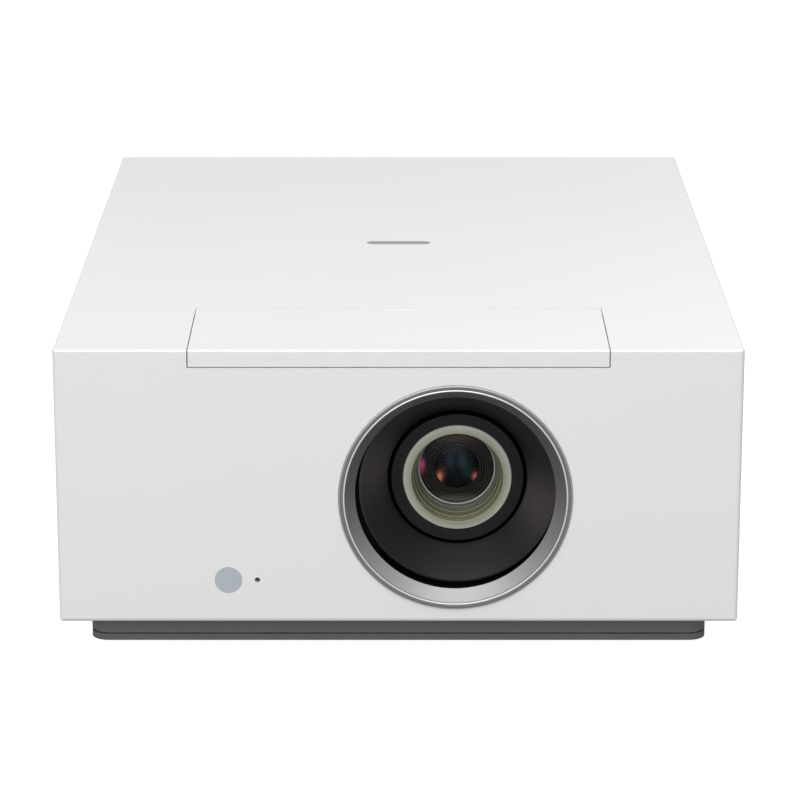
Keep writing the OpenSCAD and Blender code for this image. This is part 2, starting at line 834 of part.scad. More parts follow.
module adjuster_tray() {
    floor_y = well_front;
    bracket_r = screw_r + 2;
    color("gray") difference() {
        union() {
            block([-tray_x, floor_y, tray_z], [tray_x, tray_rear, tray_top]);
            block([-tray_x, floor_y, tray_z], [tray_x, floor_y + tray_wall, shelf_z + tray_wall]);
            block([-tray_x, inner_front + tunnel_t + lid_gap, shelf_z],
                [tray_x, floor_y + tray_wall, shelf_z + tray_wall]);
            block([-tray_x, tray_rear - tray_wall, tray_z], [tray_x, tray_rear, hinge_z - knuckle_r - 0.6]);
            for (side = [-1, 1])
                translate([side * (tray_x - tray_wall / 2), 0, 0])
                    block([-tray_wall / 2, tray_front, tray_z], [tray_wall / 2, tray_rear, roof_z - seam]);
            for (side = [-1, 1])
                translate([dial_x + side * (dial_w / 2 + dial_bracket_gap + dial_bracket_t / 2), dial_y, 0])
                    block([-dial_bracket_t / 2, -bracket_r, dial_z - bracket_r],
                        [dial_bracket_t / 2, bracket_r, tray_z + cut]);
        }
        lever_slot(focus_y);
        lever_slot(zoom_y);
        block([dial_x - dial_w / 2 - slot_room, dial_y - dial_r + slot_room, tray_z - cut],
            [dial_x + dial_w / 2 + slot_room, dial_y + dial_r - slot_room, tray_top + cut]);
        block([knob_x - screw_r - shift_x - slot_room, dial_y - screw_r - slot_room, tray_z - cut],
            [knob_x + screw_r + shift_x + slot_room, dial_y + screw_r + slot_room, tray_top + cut]);
        rod_along_x([dial_x - dial_w, dial_y, dial_z], screw_r + run_fit, 2 * dial_w + 10);
        rod_along_x([dial_x - dial_w - 10, dial_y, dial_z], screw_r + run_fit, 2 * dial_w + 10);
    }
}

// ---- Lens opening ----

module lens_bezel() {
    face = front_y - bezel_proud;
    edge = 0.5;
    color("silver") lens_turned([[bezel_r - edge, face], [bezel_r, face + edge],
        [bezel_r, front_y + bezel_depth], [bezel_lip_r, front_y + bezel_depth],
        [bezel_lip_r, front_y + bezel_depth - edge], [bezel_r - bezel_rim, face + edge],
        [bezel_r - bezel_rim + edge / 2, face]], opening_x);
}

module lens_tunnel() {
    outer = tunnel_r + tunnel_wall;
    lap = front_y + bezel_depth;
    back = front_y + tunnel_depth;
    color("black") lens_turned([[bezel_r + seam, inner_front], [outer + tunnel_flange, inner_front],
        [outer + tunnel_flange, inner_front + tunnel_t], [outer, inner_front + tunnel_t], [outer, back],
        [tunnel_back_r, back], [tunnel_back_r, back - tunnel_t], [tunnel_r, back - tunnel_t],
        [tunnel_r, lap], [bezel_r + seam, lap]], opening_x);
}

module lens_shroud() {
    mouth = front_y + shroud_mouth_depth;
    throat = front_y + shroud_throat_depth;
    color("black") lens_turned([[shroud_mouth_r, mouth], [shroud_mouth_r + shroud_wall, mouth],
        [shroud_mouth_r + shroud_wall, mouth + 1], [shroud_throat_r + shroud_wall + 0.5, throat + 1],
        [shroud_throat_r + shroud_wall + 0.5, throat + 2 + collar_l], [barrel_front_r, throat + 2 + collar_l],
        [barrel_front_r, throat + 2], [shroud_throat_r, throat + 2], [shroud_throat_r, throat]]);
}

module ir_window() {
    at = [-window_x, front_y, case_z + window_z];
    color("lightsteelblue") union() {
        rod_along_y(at, window_r, case_wall + cut);
        rod_along_y(at + [0, case_wall, 0], window_r + 1.5, 1.2);
    }
}

module sensor_board() {
    y = inner_front + sensor_gap;
    z = case_z + window_z;
    half_w = sensor_post_x + 3;
    color("darkgreen") union() {
        block([sensor_x - half_w, y, z - 11], [sensor_x + half_w, y + board_t, z + 11]);
        block([-window_x - 3.5, y - 2.4, z - 4], [-window_x + 3.5, y, z + 4]);
        rod_along_y([-window_x + mic_spacing, y - 3.8, z], mic_r + 1.8, 3.8);
    }
}

// ---- Lens shift ----

module lens_mount_frame() {
    half_h = slide_half_h + 3;
    cheek_front = slide_y - 2;
    color("lightgray") difference() {
        union() {
            block([cheek_left, frame_y, floor_top], [cheek_right + frame_t, frame_y + frame_t, lens_z + half_h]);
            for (x = [cheek_left, cheek_right])
                block([x, cheek_front, floor_top], [x + frame_t, frame_y + frame_t, lens_z + half_h]);
            block([cheek_left, cheek_front, floor_top], [cheek_right + frame_t, frame_y + frame_t, floor_top + 3]);
        }
        rod_along_y([lens_x, frame_y - cut, lens_z], barrel_rear_r + shift_x + shift_z + 1,
            frame_t + 2 * cut);
        for (side = [-1, 1])
            rod_along_x([cheek_left - cut, slide_y + slide_t / 2, lens_z + side * rod_z], rod_r,
                cheek_right - cheek_left + frame_t + 2 * cut);
    }
}

module horizontal_guide_rods() {
    color("silver") for (side = [-1, 1])
        rod_along_x([cheek_left, slide_y + slide_t / 2, lens_z + side * rod_z], rod_r,
            cheek_right - cheek_left + frame_t);
}

module horizontal_carriage() {
    lug_front = carriage_y;
    nut_front = dial_y - nut_reach;
    nut_top = tray_z - 0.5;
    color("darkgray") difference() {
        union() {
            block([slide_left, slide_y, lens_z - slide_half_h],
                [slide_right, slide_y + slide_t, lens_z + slide_half_h]);
            for (side = [-1, 1])
                for (low = [-lug_low - lug_t, lug_low]) {
                    translate([lens_x + side * rod_x, 0, lens_z + low])
                        block([-5, lug_front, 0], [5, slide_y + cut, lug_t]);
                    translate([knob_x, 0, lens_z + low])
                        block([-knob_lug_w / 2, nut_front, 0], [knob_lug_w / 2, slide_y + cut, lug_t]);
                }
            block([nut_x - nut_w / 2, nut_front, dial_z - nut_reach],
                [nut_x + nut_w / 2, slide_y + cut, nut_top]);
        }
        rod_along_y([lens_x, slide_y - cut, lens_z], barrel_rear_r + shift_z + 1.5, slide_t + 2 * cut);
        for (side = [-1, 1]) {
            rod_along_x([slide_left - cut, slide_y + slide_t / 2, lens_z + side * rod_z], rod_r + run_fit,
                slide_right - slide_left + 2 * cut);
            translate([lens_x + side * rod_x, rod_y, lens_z - lug_low - lug_t])
                cylinder(h = 2 * (lug_low + lug_t), r = rod_r);
        }
        rod_along_x([nut_x - nut_w, dial_y, dial_z], screw_r + run_fit, 2 * nut_w);
        translate([knob_x, dial_y, lens_z - lug_low - lug_t - cut])
            cylinder(h = 2 * (lug_low + lug_t + cut), r = screw_r + run_fit);
    }
}

module vertical_guide_rods() {
    color("silver") for (side = [-1, 1])
        translate([lens_x + side * rod_x, rod_y, lens_z - lug_low - lug_t])
            cylinder(h = 2 * (lug_low + lug_t), r = rod_r);
}

module vertical_carriage() {
    ear_x = rod_x + 6;
    ear_h = 18;
    nut_h = 12;
    color("dimgray") difference() {
        union() {
            lens_ring(carriage_y, carriage_y + carriage_t, barrel_r, ring_r);
            difference() {
                block([lens_x - ear_x, carriage_y, lens_z - ear_h],
                    [lens_x + ear_x, carriage_y + carriage_t, lens_z + ear_h]);
                rod_along_y([lens_x, carriage_y - cut, lens_z], barrel_r, carriage_t + 2 * cut);
            }
            block([knob_x - knob_lug_w / 2, dial_y - nut_reach, lens_z - nut_h],
                [lens_x - rod_x - 5, carriage_y + carriage_t, lens_z + nut_h]);
        }
        for (side = [-1, 1])
            translate([lens_x + side * rod_x, rod_y, lens_z - ear_h - cut])
                cylinder(h = 2 * (ear_h + cut), r = rod_r + run_fit);
        translate([knob_x, dial_y, lens_z - nut_h - cut])
            cylinder(h = 2 * (nut_h + cut), r = screw_r + run_fit);
    }
}

// Grip of a dial, along +Z: a toothed outline with straight flanks.
module ribbed_grip(r, l) {
    ribs = 30;
    groove = 0.7;
    linear_extrude(l) polygon([for (i = [0:2 * ribs - 1])
        let (at = r - (i % 2) * groove, turn = i * 180 / ribs) [at * cos(turn), at * sin(turn)]]);
}

module horizontal_shift_dial() {
    end_x = dial_x - dial_w / 2 - dial_bracket_gap - dial_bracket_t;
    color("darkslategray") union() {
        translate([dial_x - dial_w / 2, dial_y, dial_z]) rotate([0, 90, 0]) ribbed_grip(dial_r, dial_w);
        rod_along_x([end_x, dial_y, dial_z], screw_r, slide_left + nut_w + shift_x + 1 - end_x);
    }
}

module vertical_shift_dial() {
    low = lens_z - lug_low - lug_t;
    knob_z = tray_top + 1;
    color("darkslategray") union() {
        translate([knob_x, dial_y, knob_z]) ribbed_grip(knob_r, knob_h);
        translate([knob_x, dial_y, low]) cylinder(h = knob_z + 1 - low, r = screw_r);
    }
}

// ---- Lens ----

module lens_barrel() {
    color("dimgray") lens_turned([[front_bore_r, barrel_y], [barrel_front_r, barrel_y],
        [barrel_front_r, flange_y], [ring_r - 0.5, flange_y], [ring_r - 0.5, flange_y + 2],
        [barrel_r, flange_y + 2], [barrel_r, carriage_y + carriage_t],
        [barrel_rear_r, carriage_y + carriage_t], [barrel_rear_r, barrel_end], [rear_bore_r, barrel_end],
        [rear_bore_r, baffle_end + focus_travel + 1], [front_bore_r, baffle_end + focus_travel + 1]]);
}

module front_element() {
    apex = barrel_y;
    color("lightcyan", 0.5) difference() {
        intersection() {
            rod_along_y([lens_x, apex - cut, lens_z], front_bore_r - run_fit, glass_back - apex + cut);
            translate([lens_x, apex + front_curve, lens_z]) sphere(front_curve, $fn = 128);
        }
        translate([lens_x, apex + front_glass_t + back_curve, lens_z]) sphere(back_curve, $fn = 128);
    }
}

module front_lens_cell() {
    color("beige") lens_ring(glass_back, cell_back, cell_r, front_bore_r - run_fit);
}

module front_baffle() {
    outer = front_bore_r - run_fit;
    color("darkolivegreen") lens_turned([[cell_r, cell_back], [outer, cell_back], [outer, baffle_end],
        [baffle_stop_r, baffle_end], [baffle_stop_r, baffle_end - 2], [baffle_step_r, baffle_end - 4],
        [baffle_step_r, cell_back + baffle_l / 2 - 1], [baffle_front_r, cell_back + baffle_l / 2 - 3],
        [baffle_front_r, cell_back + 1]]);
}

// Ring that turns on the barrel, with a lever that stands up through the tray.
module lever_ring(y0) {
    middle = y0 + ring_w / 2;
    difference() {
        union() {
            rod_along_y([lens_x, y0, lens_z], ring_r, ring_w);
            block([lens_x - lever_w / 2, middle - lever_t / 2, lens_z + barrel_r],
                [lens_x + lever_w / 2, middle + lever_t / 2, lens_z + lever_r - lever_w / 2]);
            rod_along_y([lens_x, middle - lever_t / 2, lens_z + lever_r - lever_w / 2], lever_w / 2, lever_t);
        }
        rod_along_y([lens_x, y0 - cut, lens_z], barrel_r + run_fit, ring_w + 2 * cut);
    }
}

module focus_ring() { color("black") lever_ring(focus_y); }
module zoom_ring() { color("black") lever_ring(zoom_y); }

// Cell with its glass, along the lens axis.
module glass_cell(y0, l, glass_r, outer_r) {
    rise = inner_curve - sqrt(inner_curve * inner_curve - glass_r * glass_r);
    lens_ring(y0, y0 + l, glass_r, outer_r);
    translate([lens_x, y0 + rise + 1, lens_z]) rotate([-90, 0, 0])
        bulged_disc(glass_r, l - 2 * rise - 2, inner_curve);
}

module zoom_group() {
    color("slategray") glass_cell(zoom_group_y, zoom_cell_l, zoom_glass_r, rear_bore_r - run_fit);
}

module rear_lens_group() {
    color("slategray") glass_cell(barrel_end - rear_cell_l, rear_cell_l, rear_glass_r, rear_bore_r);
}

// ---- Optical engine ----

module optical_engine_case() {
    low = [engine_left, engine_y, engine_z];
    high = [engine_x, engine_y + engine_d, engine_z + engine_h];
    wall = [engine_wall, engine_wall, engine_wall];
    leg_r = 5;
    seat = prism_l / 2 - 2;
    color("lightslategray") union() {
        block([lens_x - seat, axis_y - seat, engine_z], [lens_x + seat, axis_y + seat, lens_z - prism_l / 2]);
        engine_tub(low, high, wall, leg_r);
    }
}

// Open-topped housing with its legs, and its windows for the light.
module engine_tub(low, high, wall, leg_r) {
    difference() {
        union() {
            block(low, high);
            for (x = [engine_left + leg_r, engine_x - leg_r])
                for (y = [engine_y + leg_r, engine_y + engine_d - leg_r])
                    translate([x, y, floor_top]) cylinder(h = engine_z - floor_top + cut, r = leg_r);
        }
        block(low + wall, high - wall + [0, 0, engine_wall + cut]);
        rod_along_y([lens_x, engine_y - cut, lens_z], beam_r, engine_wall + 2 * cut);
        block([lens_x - 12, imager_y - engine_wall - cut, lens_z - 9], [lens_x + 12, imager_y + cut, lens_z + 9]);
        block([engine_left - cut, axis_y - laser_w / 2 + 4, lens_z - laser_h / 2 + 4],
            [engine_left + engine_wall + cut, axis_y + laser_w / 2 - 4, lens_z + laser_h / 2 - 4]);
    }
}

module optical_engine_cover() {
    z = engine_z + engine_h;
    color("slategray") union() {
        block([engine_left, engine_y, z], [engine_x, engine_y + engine_d, z + engine_wall]);
        block([engine_left + engine_wall + seam, engine_y + engine_wall + seam, z - 2],
            [engine_x - engine_wall - seam, engine_y + engine_d - engine_wall - seam, z]);
    }
}

// Two wedges with a thin air gap along their long faces.
module prism() {
    half = prism_l / 2;
    slip = prism_gap / 2;
    color("lightblue") translate([lens_x, axis_y, lens_z - half]) linear_extrude(prism_l) {
        polygon([[-half, -half], [half - slip, -half], [-half, half - slip]]);
        polygon([[half, half], [-half + slip, half], [half, -half + slip]]);
    }
}

module imager_board() {
    chip_w = 22;
    chip_h = 16;
    chip_t = 2.4;
    color("darkgreen") union() {
        block([lens_x - imager_w / 2, imager_y, lens_z - imager_h / 2],
            [lens_x + imager_w / 2, imager_y + board_t, lens_z + imager_h / 2]);
        block([lens_x - chip_w / 2, imager_y - chip_t, lens_z - chip_h / 2],
            [lens_x + chip_w / 2, imager_y + cut, lens_z + chip_h / 2]);
    }
}

// Heat sink standing along +Z on its base, with fins across X.
module heatsink(w, h, l) {
    pitch = (w - fin_t) / (fin_count - 1);
    union() {
        translate([-w / 2, -h / 2, 0]) cube([w, h, sink_base_t]);
        for (i = [0:fin_count - 1])
            translate([-w / 2 + i * pitch, -h / 2, 0]) cube([fin_t, h, l]);
    }
}

module imager_heatsink() {
    color("silver") translate([lens_x, sink_y, lens_z]) rotate([-90, 0, 0])
        heatsink(imager_w, imager_h, imager_sink_d);
}

module laser_bank() {
    can_r = 4.5;
    can_l = 3;
    color("goldenrod") union() {
        block([engine_left - laser_l, axis_y - laser_w / 2, lens_z - laser_h / 2],
            [engine_left, axis_y + laser_w / 2, lens_z + laser_h / 2]);
        for (side = [-1, 1])
            for (row = [-1:1])
                rod_along_x([engine_left - cut, axis_y + side * laser_w / 6, lens_z + row * laser_h / 4],
                    can_r, can_l + cut);
    }
}

module laser_heatsink() {
    color("silver") translate([engine_left - laser_l, axis_y, lens_z]) rotate([0, -90, 0])
        rotate([0, 0, 90]) heatsink(laser_w + 30, laser_h + 20, laser_sink_l);
}

module phosphor_wheel() {
    color("khaki") union() {
        difference() {
            rod_along_x([wheel_x, axis_y, wheel_z], wheel_r, wheel_t);
            rod_along_x([wheel_x - cut, axis_y, wheel_z], wheel_r * 0.3, wheel_t + 2 * cut);
        }
        difference() {
            rod_along_x([wheel_x - 2, axis_y, wheel_z], wheel_r * 0.35, wheel_t + 3);
            rod_along_x([wheel_x - 2 - cut, axis_y, wheel_z], motor_shaft_r + run_fit, wheel_t + 3 + 2 * cut);
        }
    }
}

module wheel_motor() {
    rear = wheel_x - 2.5 - motor_l;
    color("gray") union() {
        rod_along_x([rear, axis_y, wheel_z], motor_r, motor_l);
        rod_along_x([rear, axis_y, wheel_z], motor_shaft_r, motor_l + 2.5 + wheel_t + 2);
        block([rear, axis_y - motor_r, engine_z + engine_wall], [rear + motor_l, axis_y + motor_r, wheel_z]);
    }
}

module relay_lenses() {
    gap = 24;
    foot_w = 8;
    color("lightblue") for (i = [0, 1]) {
        x = lens_x - prism_l / 2 - 14 - i * gap;
        union() {
            translate([x, axis_y, lens_z]) rotate([0, 90, 0]) bulged_disc(relay_r, 3, inner_curve);
            difference() {
                block([x, axis_y - foot_w, engine_z + engine_wall], [x + 3, axis_y + foot_w, lens_z]);
                rod_along_x([x - cut, axis_y, lens_z], relay_r - 1, 3 + 2 * cut);
            }
        }
    }
}

// ---- Boards and sockets ----

module signal_cutouts() {
    for (s = signal_list)
        block([s[0] - s[1] / 2, inner_rear - cut, case_z + socket_z - s[2] / 2],
            [s[0] + s[1] / 2, rear_y + cut, case_z + socket_z + s[2] / 2]);
}

// Socket shell with its opening at the rear face.
module socket(x, w, h, depth) {
    z = case_z + socket_z;
    difference() {
        block([x - w / 2 + seam / 2, rear_y - socket_l, z - h / 2 + seam / 2],
            [x + w / 2 - seam / 2, rear_y, z + h / 2 - seam / 2]);
        block([x - w / 2 + socket_wall, rear_y - depth, z - h / 2 + socket_wall],
            [x + w / 2 - socket_wall, rear_y + cut, z + h / 2 - socket_wall]);
    }
}

module signal_sockets() {
    tongue_t = 1.4;
    color("dimgray") for (s = signal_list) union() {
        socket(s[0], s[1], s[2], socket_l - 2);
        block([s[0] - s[1] / 3, rear_y - socket_l + 1, case_z + socket_z - tongue_t / 2],
            [s[0] + s[1] / 3, rear_y - 2, case_z + socket_z + tongue_t / 2]);
    }
}

module lan_socket() {
    color("gray") socket(lan_x, lan_w, lan_h, socket_l - 2);
}

module audio_jack() {
    z = case_z + socket_z;
    color("black") difference() {
        union() {
            rod_along_y([jack_x, rear_y - socket_l, z], jack_r - seam / 2, socket_l);
            block([jack_x - jack_r - 1, rear_y - socket_l, z - jack_r - 1],
                [jack_x + jack_r + 1, inner_rear - seam, z + jack_r + 1]);
        }
        rod_along_y([jack_x, rear_y - socket_l + 1, z], jack_bore_r, socket_l);
    }
}

module mains_inlet() {
    z = case_z + socket_z;
    mains_l = 20;
    pin_l = 12;
    color("black") union() {
        difference() {
            union() {
                block([-mains_x - mains_w / 2 + seam / 2, rear_y - mains_l, z - mains_h / 2 + seam / 2],
                    [-mains_x + mains_w / 2 - seam / 2, rear_y, z + mains_h / 2 - seam / 2]);
                block([-mains_x - mains_w / 2 - 2, inner_rear - 2, z - mains_h / 2 - 2],
                    [-mains_x + mains_w / 2 + 2, inner_rear, z + mains_h / 2 + 2]);
            }
            block([-mains_x - mains_w / 2 + 2, rear_y - mains_l + 3, z - mains_h / 2 + 2],
                [-mains_x + mains_w / 2 - 2, rear_y + cut, z + mains_h / 2 - 2]);
        }
        for (pin = [[-7, -1.5], [0, 2.5], [7, -1.5]])
            translate([-mains_x + pin[0], rear_y - mains_l + 2, z + pin[1]])
                block([-1, 0, -2], [1, pin_l, 2]);
    }
}

module power_button() {
    z = case_z + socket_z;
    collar_gap = 0.2;
    color("gainsboro") union() {
        rod_along_y([button_x, button_back, z], button_r, rear_y - 0.4 - button_back);
        rod_along_y([button_x, inner_rear - 2, z], button_r + 1.8, 2 - collar_gap);
    }
}

module main_board() {
    z = case_z + socket_z - 14;
    chip_t = 3;
    color("darkgreen") union() {
        block([board_left, board_y, z], [board_left + board_w, board_y + board_t, z + board_h]);
        for (chip = [[14, 34, 26, 26], [54, 40, 18, 14], [54, 62, 18, 14], [84, 36, 30, 20], [124, 52, 14, 14]])
            translate([board_left + chip[0], board_y - chip_t, z + chip[1]])
                cube([chip[2], chip_t + board_t / 2, chip[3]]);
        rod_along_y([button_x, board_y, z + 14], 3, button_back - button_travel - 0.3 - board_y);
    }
}

module power_supply_board() {
    z = floor_top + supply_post;
    color("peru") union() {
        block([supply_x, supply_y, z], [supply_x + supply_w, supply_y + supply_d, z + board_t]);
        for (part = [[12, 14, 34, 30, 26], [58, 20, 26, 34, 30], [14, 58, 30, 12, 34], [58, 70, 12, 30, 28],
            [86, 40, 10, 40, 32]])
            translate([supply_x + part[0], supply_y + part[1], z]) cube([part[2], part[3], part[4]]);
        for (i = [0:2])
            translate([supply_x + 20 + i * 17, supply_y + 98, z]) cylinder(h = 30, r = 7);
    }
}

// ---- Cooling and sound ----

// Fan frame along +Z with its airway, three arms and a hub plate.
module fan_frame() {
    arm_w = 4;
    arm_t = 3;
    hole_r = 2.2;
    union() {
        difference() {
            translate([-fan_w / 2, -fan_w / 2, 0]) cube([fan_w, fan_w, fan_t]);
            translate([0, 0, -cut]) cylinder(h = fan_t + 2 * cut, r = fan_bore_r);
            for (x = [-1, 1])
                for (y = [-1, 1])
                    translate([x * (fan_w / 2 - 4.5), y * (fan_w / 2 - 4.5), -cut])
                        cylinder(h = fan_t + 2 * cut, r = hole_r);
        }
        difference() {
            union() {
                cylinder(h = arm_t, r = hub_r);
                for (i = [0:2])
                    rotate([0, 0, 30 + i * 120]) translate([0, -arm_w / 2, 0])
                        cube([fan_bore_r + cut / 2, arm_w, arm_t]);
            }
            translate([0, 0, 1]) cylinder(h = arm_t, r = motor_shaft_r + run_fit);
        }
    }
}

// Fan rotor along +Z: hub, tilted blades and the shaft.
module fan_rotor() {
    blade_t = 1.2;
    low = 4;
    blade_h = fan_t - low - 1;
    blade_w = (blade_h - 1) / cos(blade_tilt);
    root_r = hub_r - 3;
    union() {
        translate([0, 0, low]) cylinder(h = blade_h, r = hub_r - 0.5);
        translate([0, 0, 1 + run_fit]) cylinder(h = low, r = motor_shaft_r);
        for (i = [0:blade_count - 1])
            rotate([0, 0, i * 360 / blade_count]) translate([root_r, 0, low + blade_h / 2])
                rotate([blade_tilt, 0, 0]) translate([0, -blade_t / 2, -blade_w / 2])
                    cube([fan_bore_r - tip_gap - root_r, blade_t, blade_w]);
    }
}

// Turns something that stands along +Z so that it faces the side wall at +X.
module at_side_wall(side) {
    translate([side * fan_x, fan_y, fan_z]) rotate([0, -side * 90, 0]) children();
}

module intake_fan_frame() { color("black") at_side_wall(-1) fan_frame(); }
module intake_fan_rotor() { color("darkslategray") at_side_wall(-1) fan_rotor(); }
module exhaust_fan_frame() { color("black") at_side_wall(1) fan_frame(); }
module exhaust_fan_rotor() { color("darkslategray") at_side_wall(1) fan_rotor(); }

// Speaker box with its cone, for the side wall at +X.
module speaker() {
    mid_y = speaker_y + speaker_l / 2;
    dome_r = 9;
    color("black") union() {
        difference() {
            block([fan_x - speaker_d, speaker_y, fan_z - speaker_h / 2],
                [fan_x, speaker_y + speaker_l, fan_z + speaker_h / 2]);
            translate([fan_x - cone_depth, mid_y, fan_z]) rotate([0, 90, 0])
                cylinder(h = cone_depth + 0.001, r1 = dome_r + 1, r2 = cone_r);
        }
        translate([fan_x - cone_depth - cut, mid_y, fan_z]) rotate([0, 90, 0])
            cylinder(h = cut + 5, r = dome_r);
    }
}

module right_speaker() { speaker(); }
module left_speaker() { mirror([1, 0, 0]) speaker(); }

upper_case();
rear_panel();
bottom_case();
base_plinth();
base_plate();
left_grille();
right_grille();
adjustment_lid();
lid_hinge_pins();
adjuster_tray();
lens_bezel();
lens_tunnel();
lens_shroud();
ir_window();
sensor_board();
lens_mount_frame();
horizontal_guide_rods();
horizontal_carriage();
vertical_guide_rods();
vertical_carriage();
horizontal_shift_dial();
vertical_shift_dial();
lens_barrel();
front_lens_cell();
front_element();
front_baffle();
focus_ring();
zoom_ring();
zoom_group();
rear_lens_group();
optical_engine_case();
optical_engine_cover();
prism();
imager_board();
imager_heatsink();
laser_bank();
laser_heatsink();
phosphor_wheel();
wheel_motor();
relay_lenses();
main_board();
power_supply_board();
signal_sockets();
lan_socket();
audio_jack();
mains_inlet();
power_button();
left_speaker();
right_speaker();
intake_fan_frame();
intake_fan_rotor();
exhaust_fan_frame();
exhaust_fan_rotor();
left_foot_pad();
left_foot_screw();
right_foot_pad();
right_foot_screw();
rear_feet();
mount_inserts();
case_screws();
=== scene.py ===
import math

import bmesh
import bpy
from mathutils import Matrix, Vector


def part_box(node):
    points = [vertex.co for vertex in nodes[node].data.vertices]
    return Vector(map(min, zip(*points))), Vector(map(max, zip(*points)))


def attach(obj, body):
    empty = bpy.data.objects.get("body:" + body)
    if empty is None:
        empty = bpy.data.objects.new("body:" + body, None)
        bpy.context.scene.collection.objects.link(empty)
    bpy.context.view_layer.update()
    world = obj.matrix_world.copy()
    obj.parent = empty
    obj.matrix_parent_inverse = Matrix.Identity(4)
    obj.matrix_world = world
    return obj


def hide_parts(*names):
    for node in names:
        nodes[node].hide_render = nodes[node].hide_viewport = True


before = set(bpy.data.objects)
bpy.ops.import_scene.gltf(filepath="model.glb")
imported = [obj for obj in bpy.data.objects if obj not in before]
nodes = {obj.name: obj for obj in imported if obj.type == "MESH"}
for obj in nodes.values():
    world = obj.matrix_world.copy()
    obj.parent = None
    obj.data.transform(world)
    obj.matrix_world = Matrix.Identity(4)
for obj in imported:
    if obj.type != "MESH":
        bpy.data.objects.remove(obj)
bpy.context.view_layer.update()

mm = 0.001
print("stage: frame loaded with", len(nodes), "pieces")


# node helpers

def newMaterial(name):
    material = bpy.data.materials.new(name)
    material.use_nodes = True
    tree = material.node_tree
    tree.nodes.clear()
    output = tree.nodes.new("ShaderNodeOutputMaterial")
    shader = tree.nodes.new("ShaderNodeBsdfPrincipled")
    tree.links.new(shader.outputs["BSDF"], output.inputs["Surface"])
    return material, tree, shader


def addMath(tree, operation, first, second=None, third=None):
    node = tree.nodes.new("ShaderNodeMath")
    node.operation = operation
    for index, value in enumerate((first, second, third)):
        if value is None:
            continue
        if isinstance(value, (int, float)):
            node.inputs[index].default_value = value
        else:
            tree.links.new(value, node.inputs[index])
    return node.outputs[0]


def addMix(tree, factor, first, second):
    node = tree.nodes.new("ShaderNodeMix")
    node.data_type = "RGBA"
    for socket, value in ((node.inputs[0], factor), (node.inputs[6], first), (node.inputs[7], second)):
        if isinstance(value, (int, float)):
            socket.default_value = value
        elif isinstance(value, tuple):
            socket.default_value = value if len(value) == 4 else (*value, 1)
        else:
            tree.links.new(value, socket)
    return node.outputs[2]


def addBump(tree, height, distance):
    # full strength, so that the distance alone says how deep the relief is
    node = tree.nodes.new("ShaderNodeBump")
    node.inputs["Strength"].default_value = 1.0
    node.inputs["Distance"].default_value = distance
    tree.links.new(height, node.inputs["Height"])
    return node.outputs["Normal"]


def addStep(tree, value, low, high):
    # 0 below low and 1 above high, or the other way round when low is the larger
    step = tree.nodes.new("ShaderNodeMapRange")
    step.inputs["From Min"].default_value = min(low, high)
    step.inputs["From Max"].default_value = max(low, high)
    step.inputs["To Min"].default_value = 0.0 if low < high else 1.0
    step.inputs["To Max"].default_value = 1.0 if low < high else 0.0
    tree.links.new(value, step.inputs["Value"])
    return step.outputs["Result"]


def scaled(color, gain):
    return tuple(channel * gain for channel in color)


def objectPoint(tree):
    coords = tree.nodes.new("ShaderNodeTexCoord")
    return coords.outputs["Object"]


def useGroup(tree, group, values, links=None):
    node = tree.nodes.new("ShaderNodeGroup")
    node.node_tree = group
    for name, value in values.items():
        node.inputs[name].default_value = value
    for name, source in (links or {}).items():
        tree.links.new(source, node.inputs[name])
    return node


def startGroup(name, inputs, outputs):
    group = bpy.data.node_groups.new(name, "ShaderNodeTree")
    for label, kind, value in inputs:
        socket = group.interface.new_socket(name=label, in_out="INPUT", socket_type=kind)
        if value is not None:
            socket.default_value = value
    for label, kind in outputs:
        group.interface.new_socket(name=label, in_out="OUTPUT", socket_type=kind)
    source = group.nodes.new("NodeGroupInput")
    sink = group.nodes.new("NodeGroupOutput")
    return group, source, sink


# shared effects

effects = {
    "grainDetail": 3, "grainRoughness": 0.6, "driftDetail": 2,
    "wearSamples": 4, "wearScale": 90, "wearDetail": 4, "wearGain": 6.0,
    "dustScale": 60, "dustDetail": 6,
}


def buildMouldedGrain():
    # fine pebbled skin of a moulded part: a height, and a slow drift for the roughness
    group, source, sink = startGroup(
        "mouldedGrain",
        [("Point", "NodeSocketVector", None), ("Grain Size", "NodeSocketFloat", 0.0004),
         ("Drift Size", "NodeSocketFloat", 0.06)],
        [("Height", "NodeSocketFloat"), ("Drift", "NodeSocketFloat")])
    fine = group.nodes.new("ShaderNodeTexNoise")
    fine.inputs["Detail"].default_value = effects["grainDetail"]
    fine.inputs["Roughness"].default_value = effects["grainRoughness"]
    slow = group.nodes.new("ShaderNodeTexNoise")
    slow.inputs["Detail"].default_value = effects["driftDetail"]
    group.links.new(source.outputs["Point"], fine.inputs["Vector"])
    group.links.new(source.outputs["Point"], slow.inputs["Vector"])
    group.links.new(addMath(group, "DIVIDE", 1.0, source.outputs["Grain Size"]), fine.inputs["Scale"])
    group.links.new(addMath(group, "DIVIDE", 1.0, source.outputs["Drift Size"]), slow.inputs["Scale"])
    group.links.new(fine.outputs["Fac"], sink.inputs["Height"])
    group.links.new(slow.outputs["Fac"], sink.inputs["Drift"])
    return group


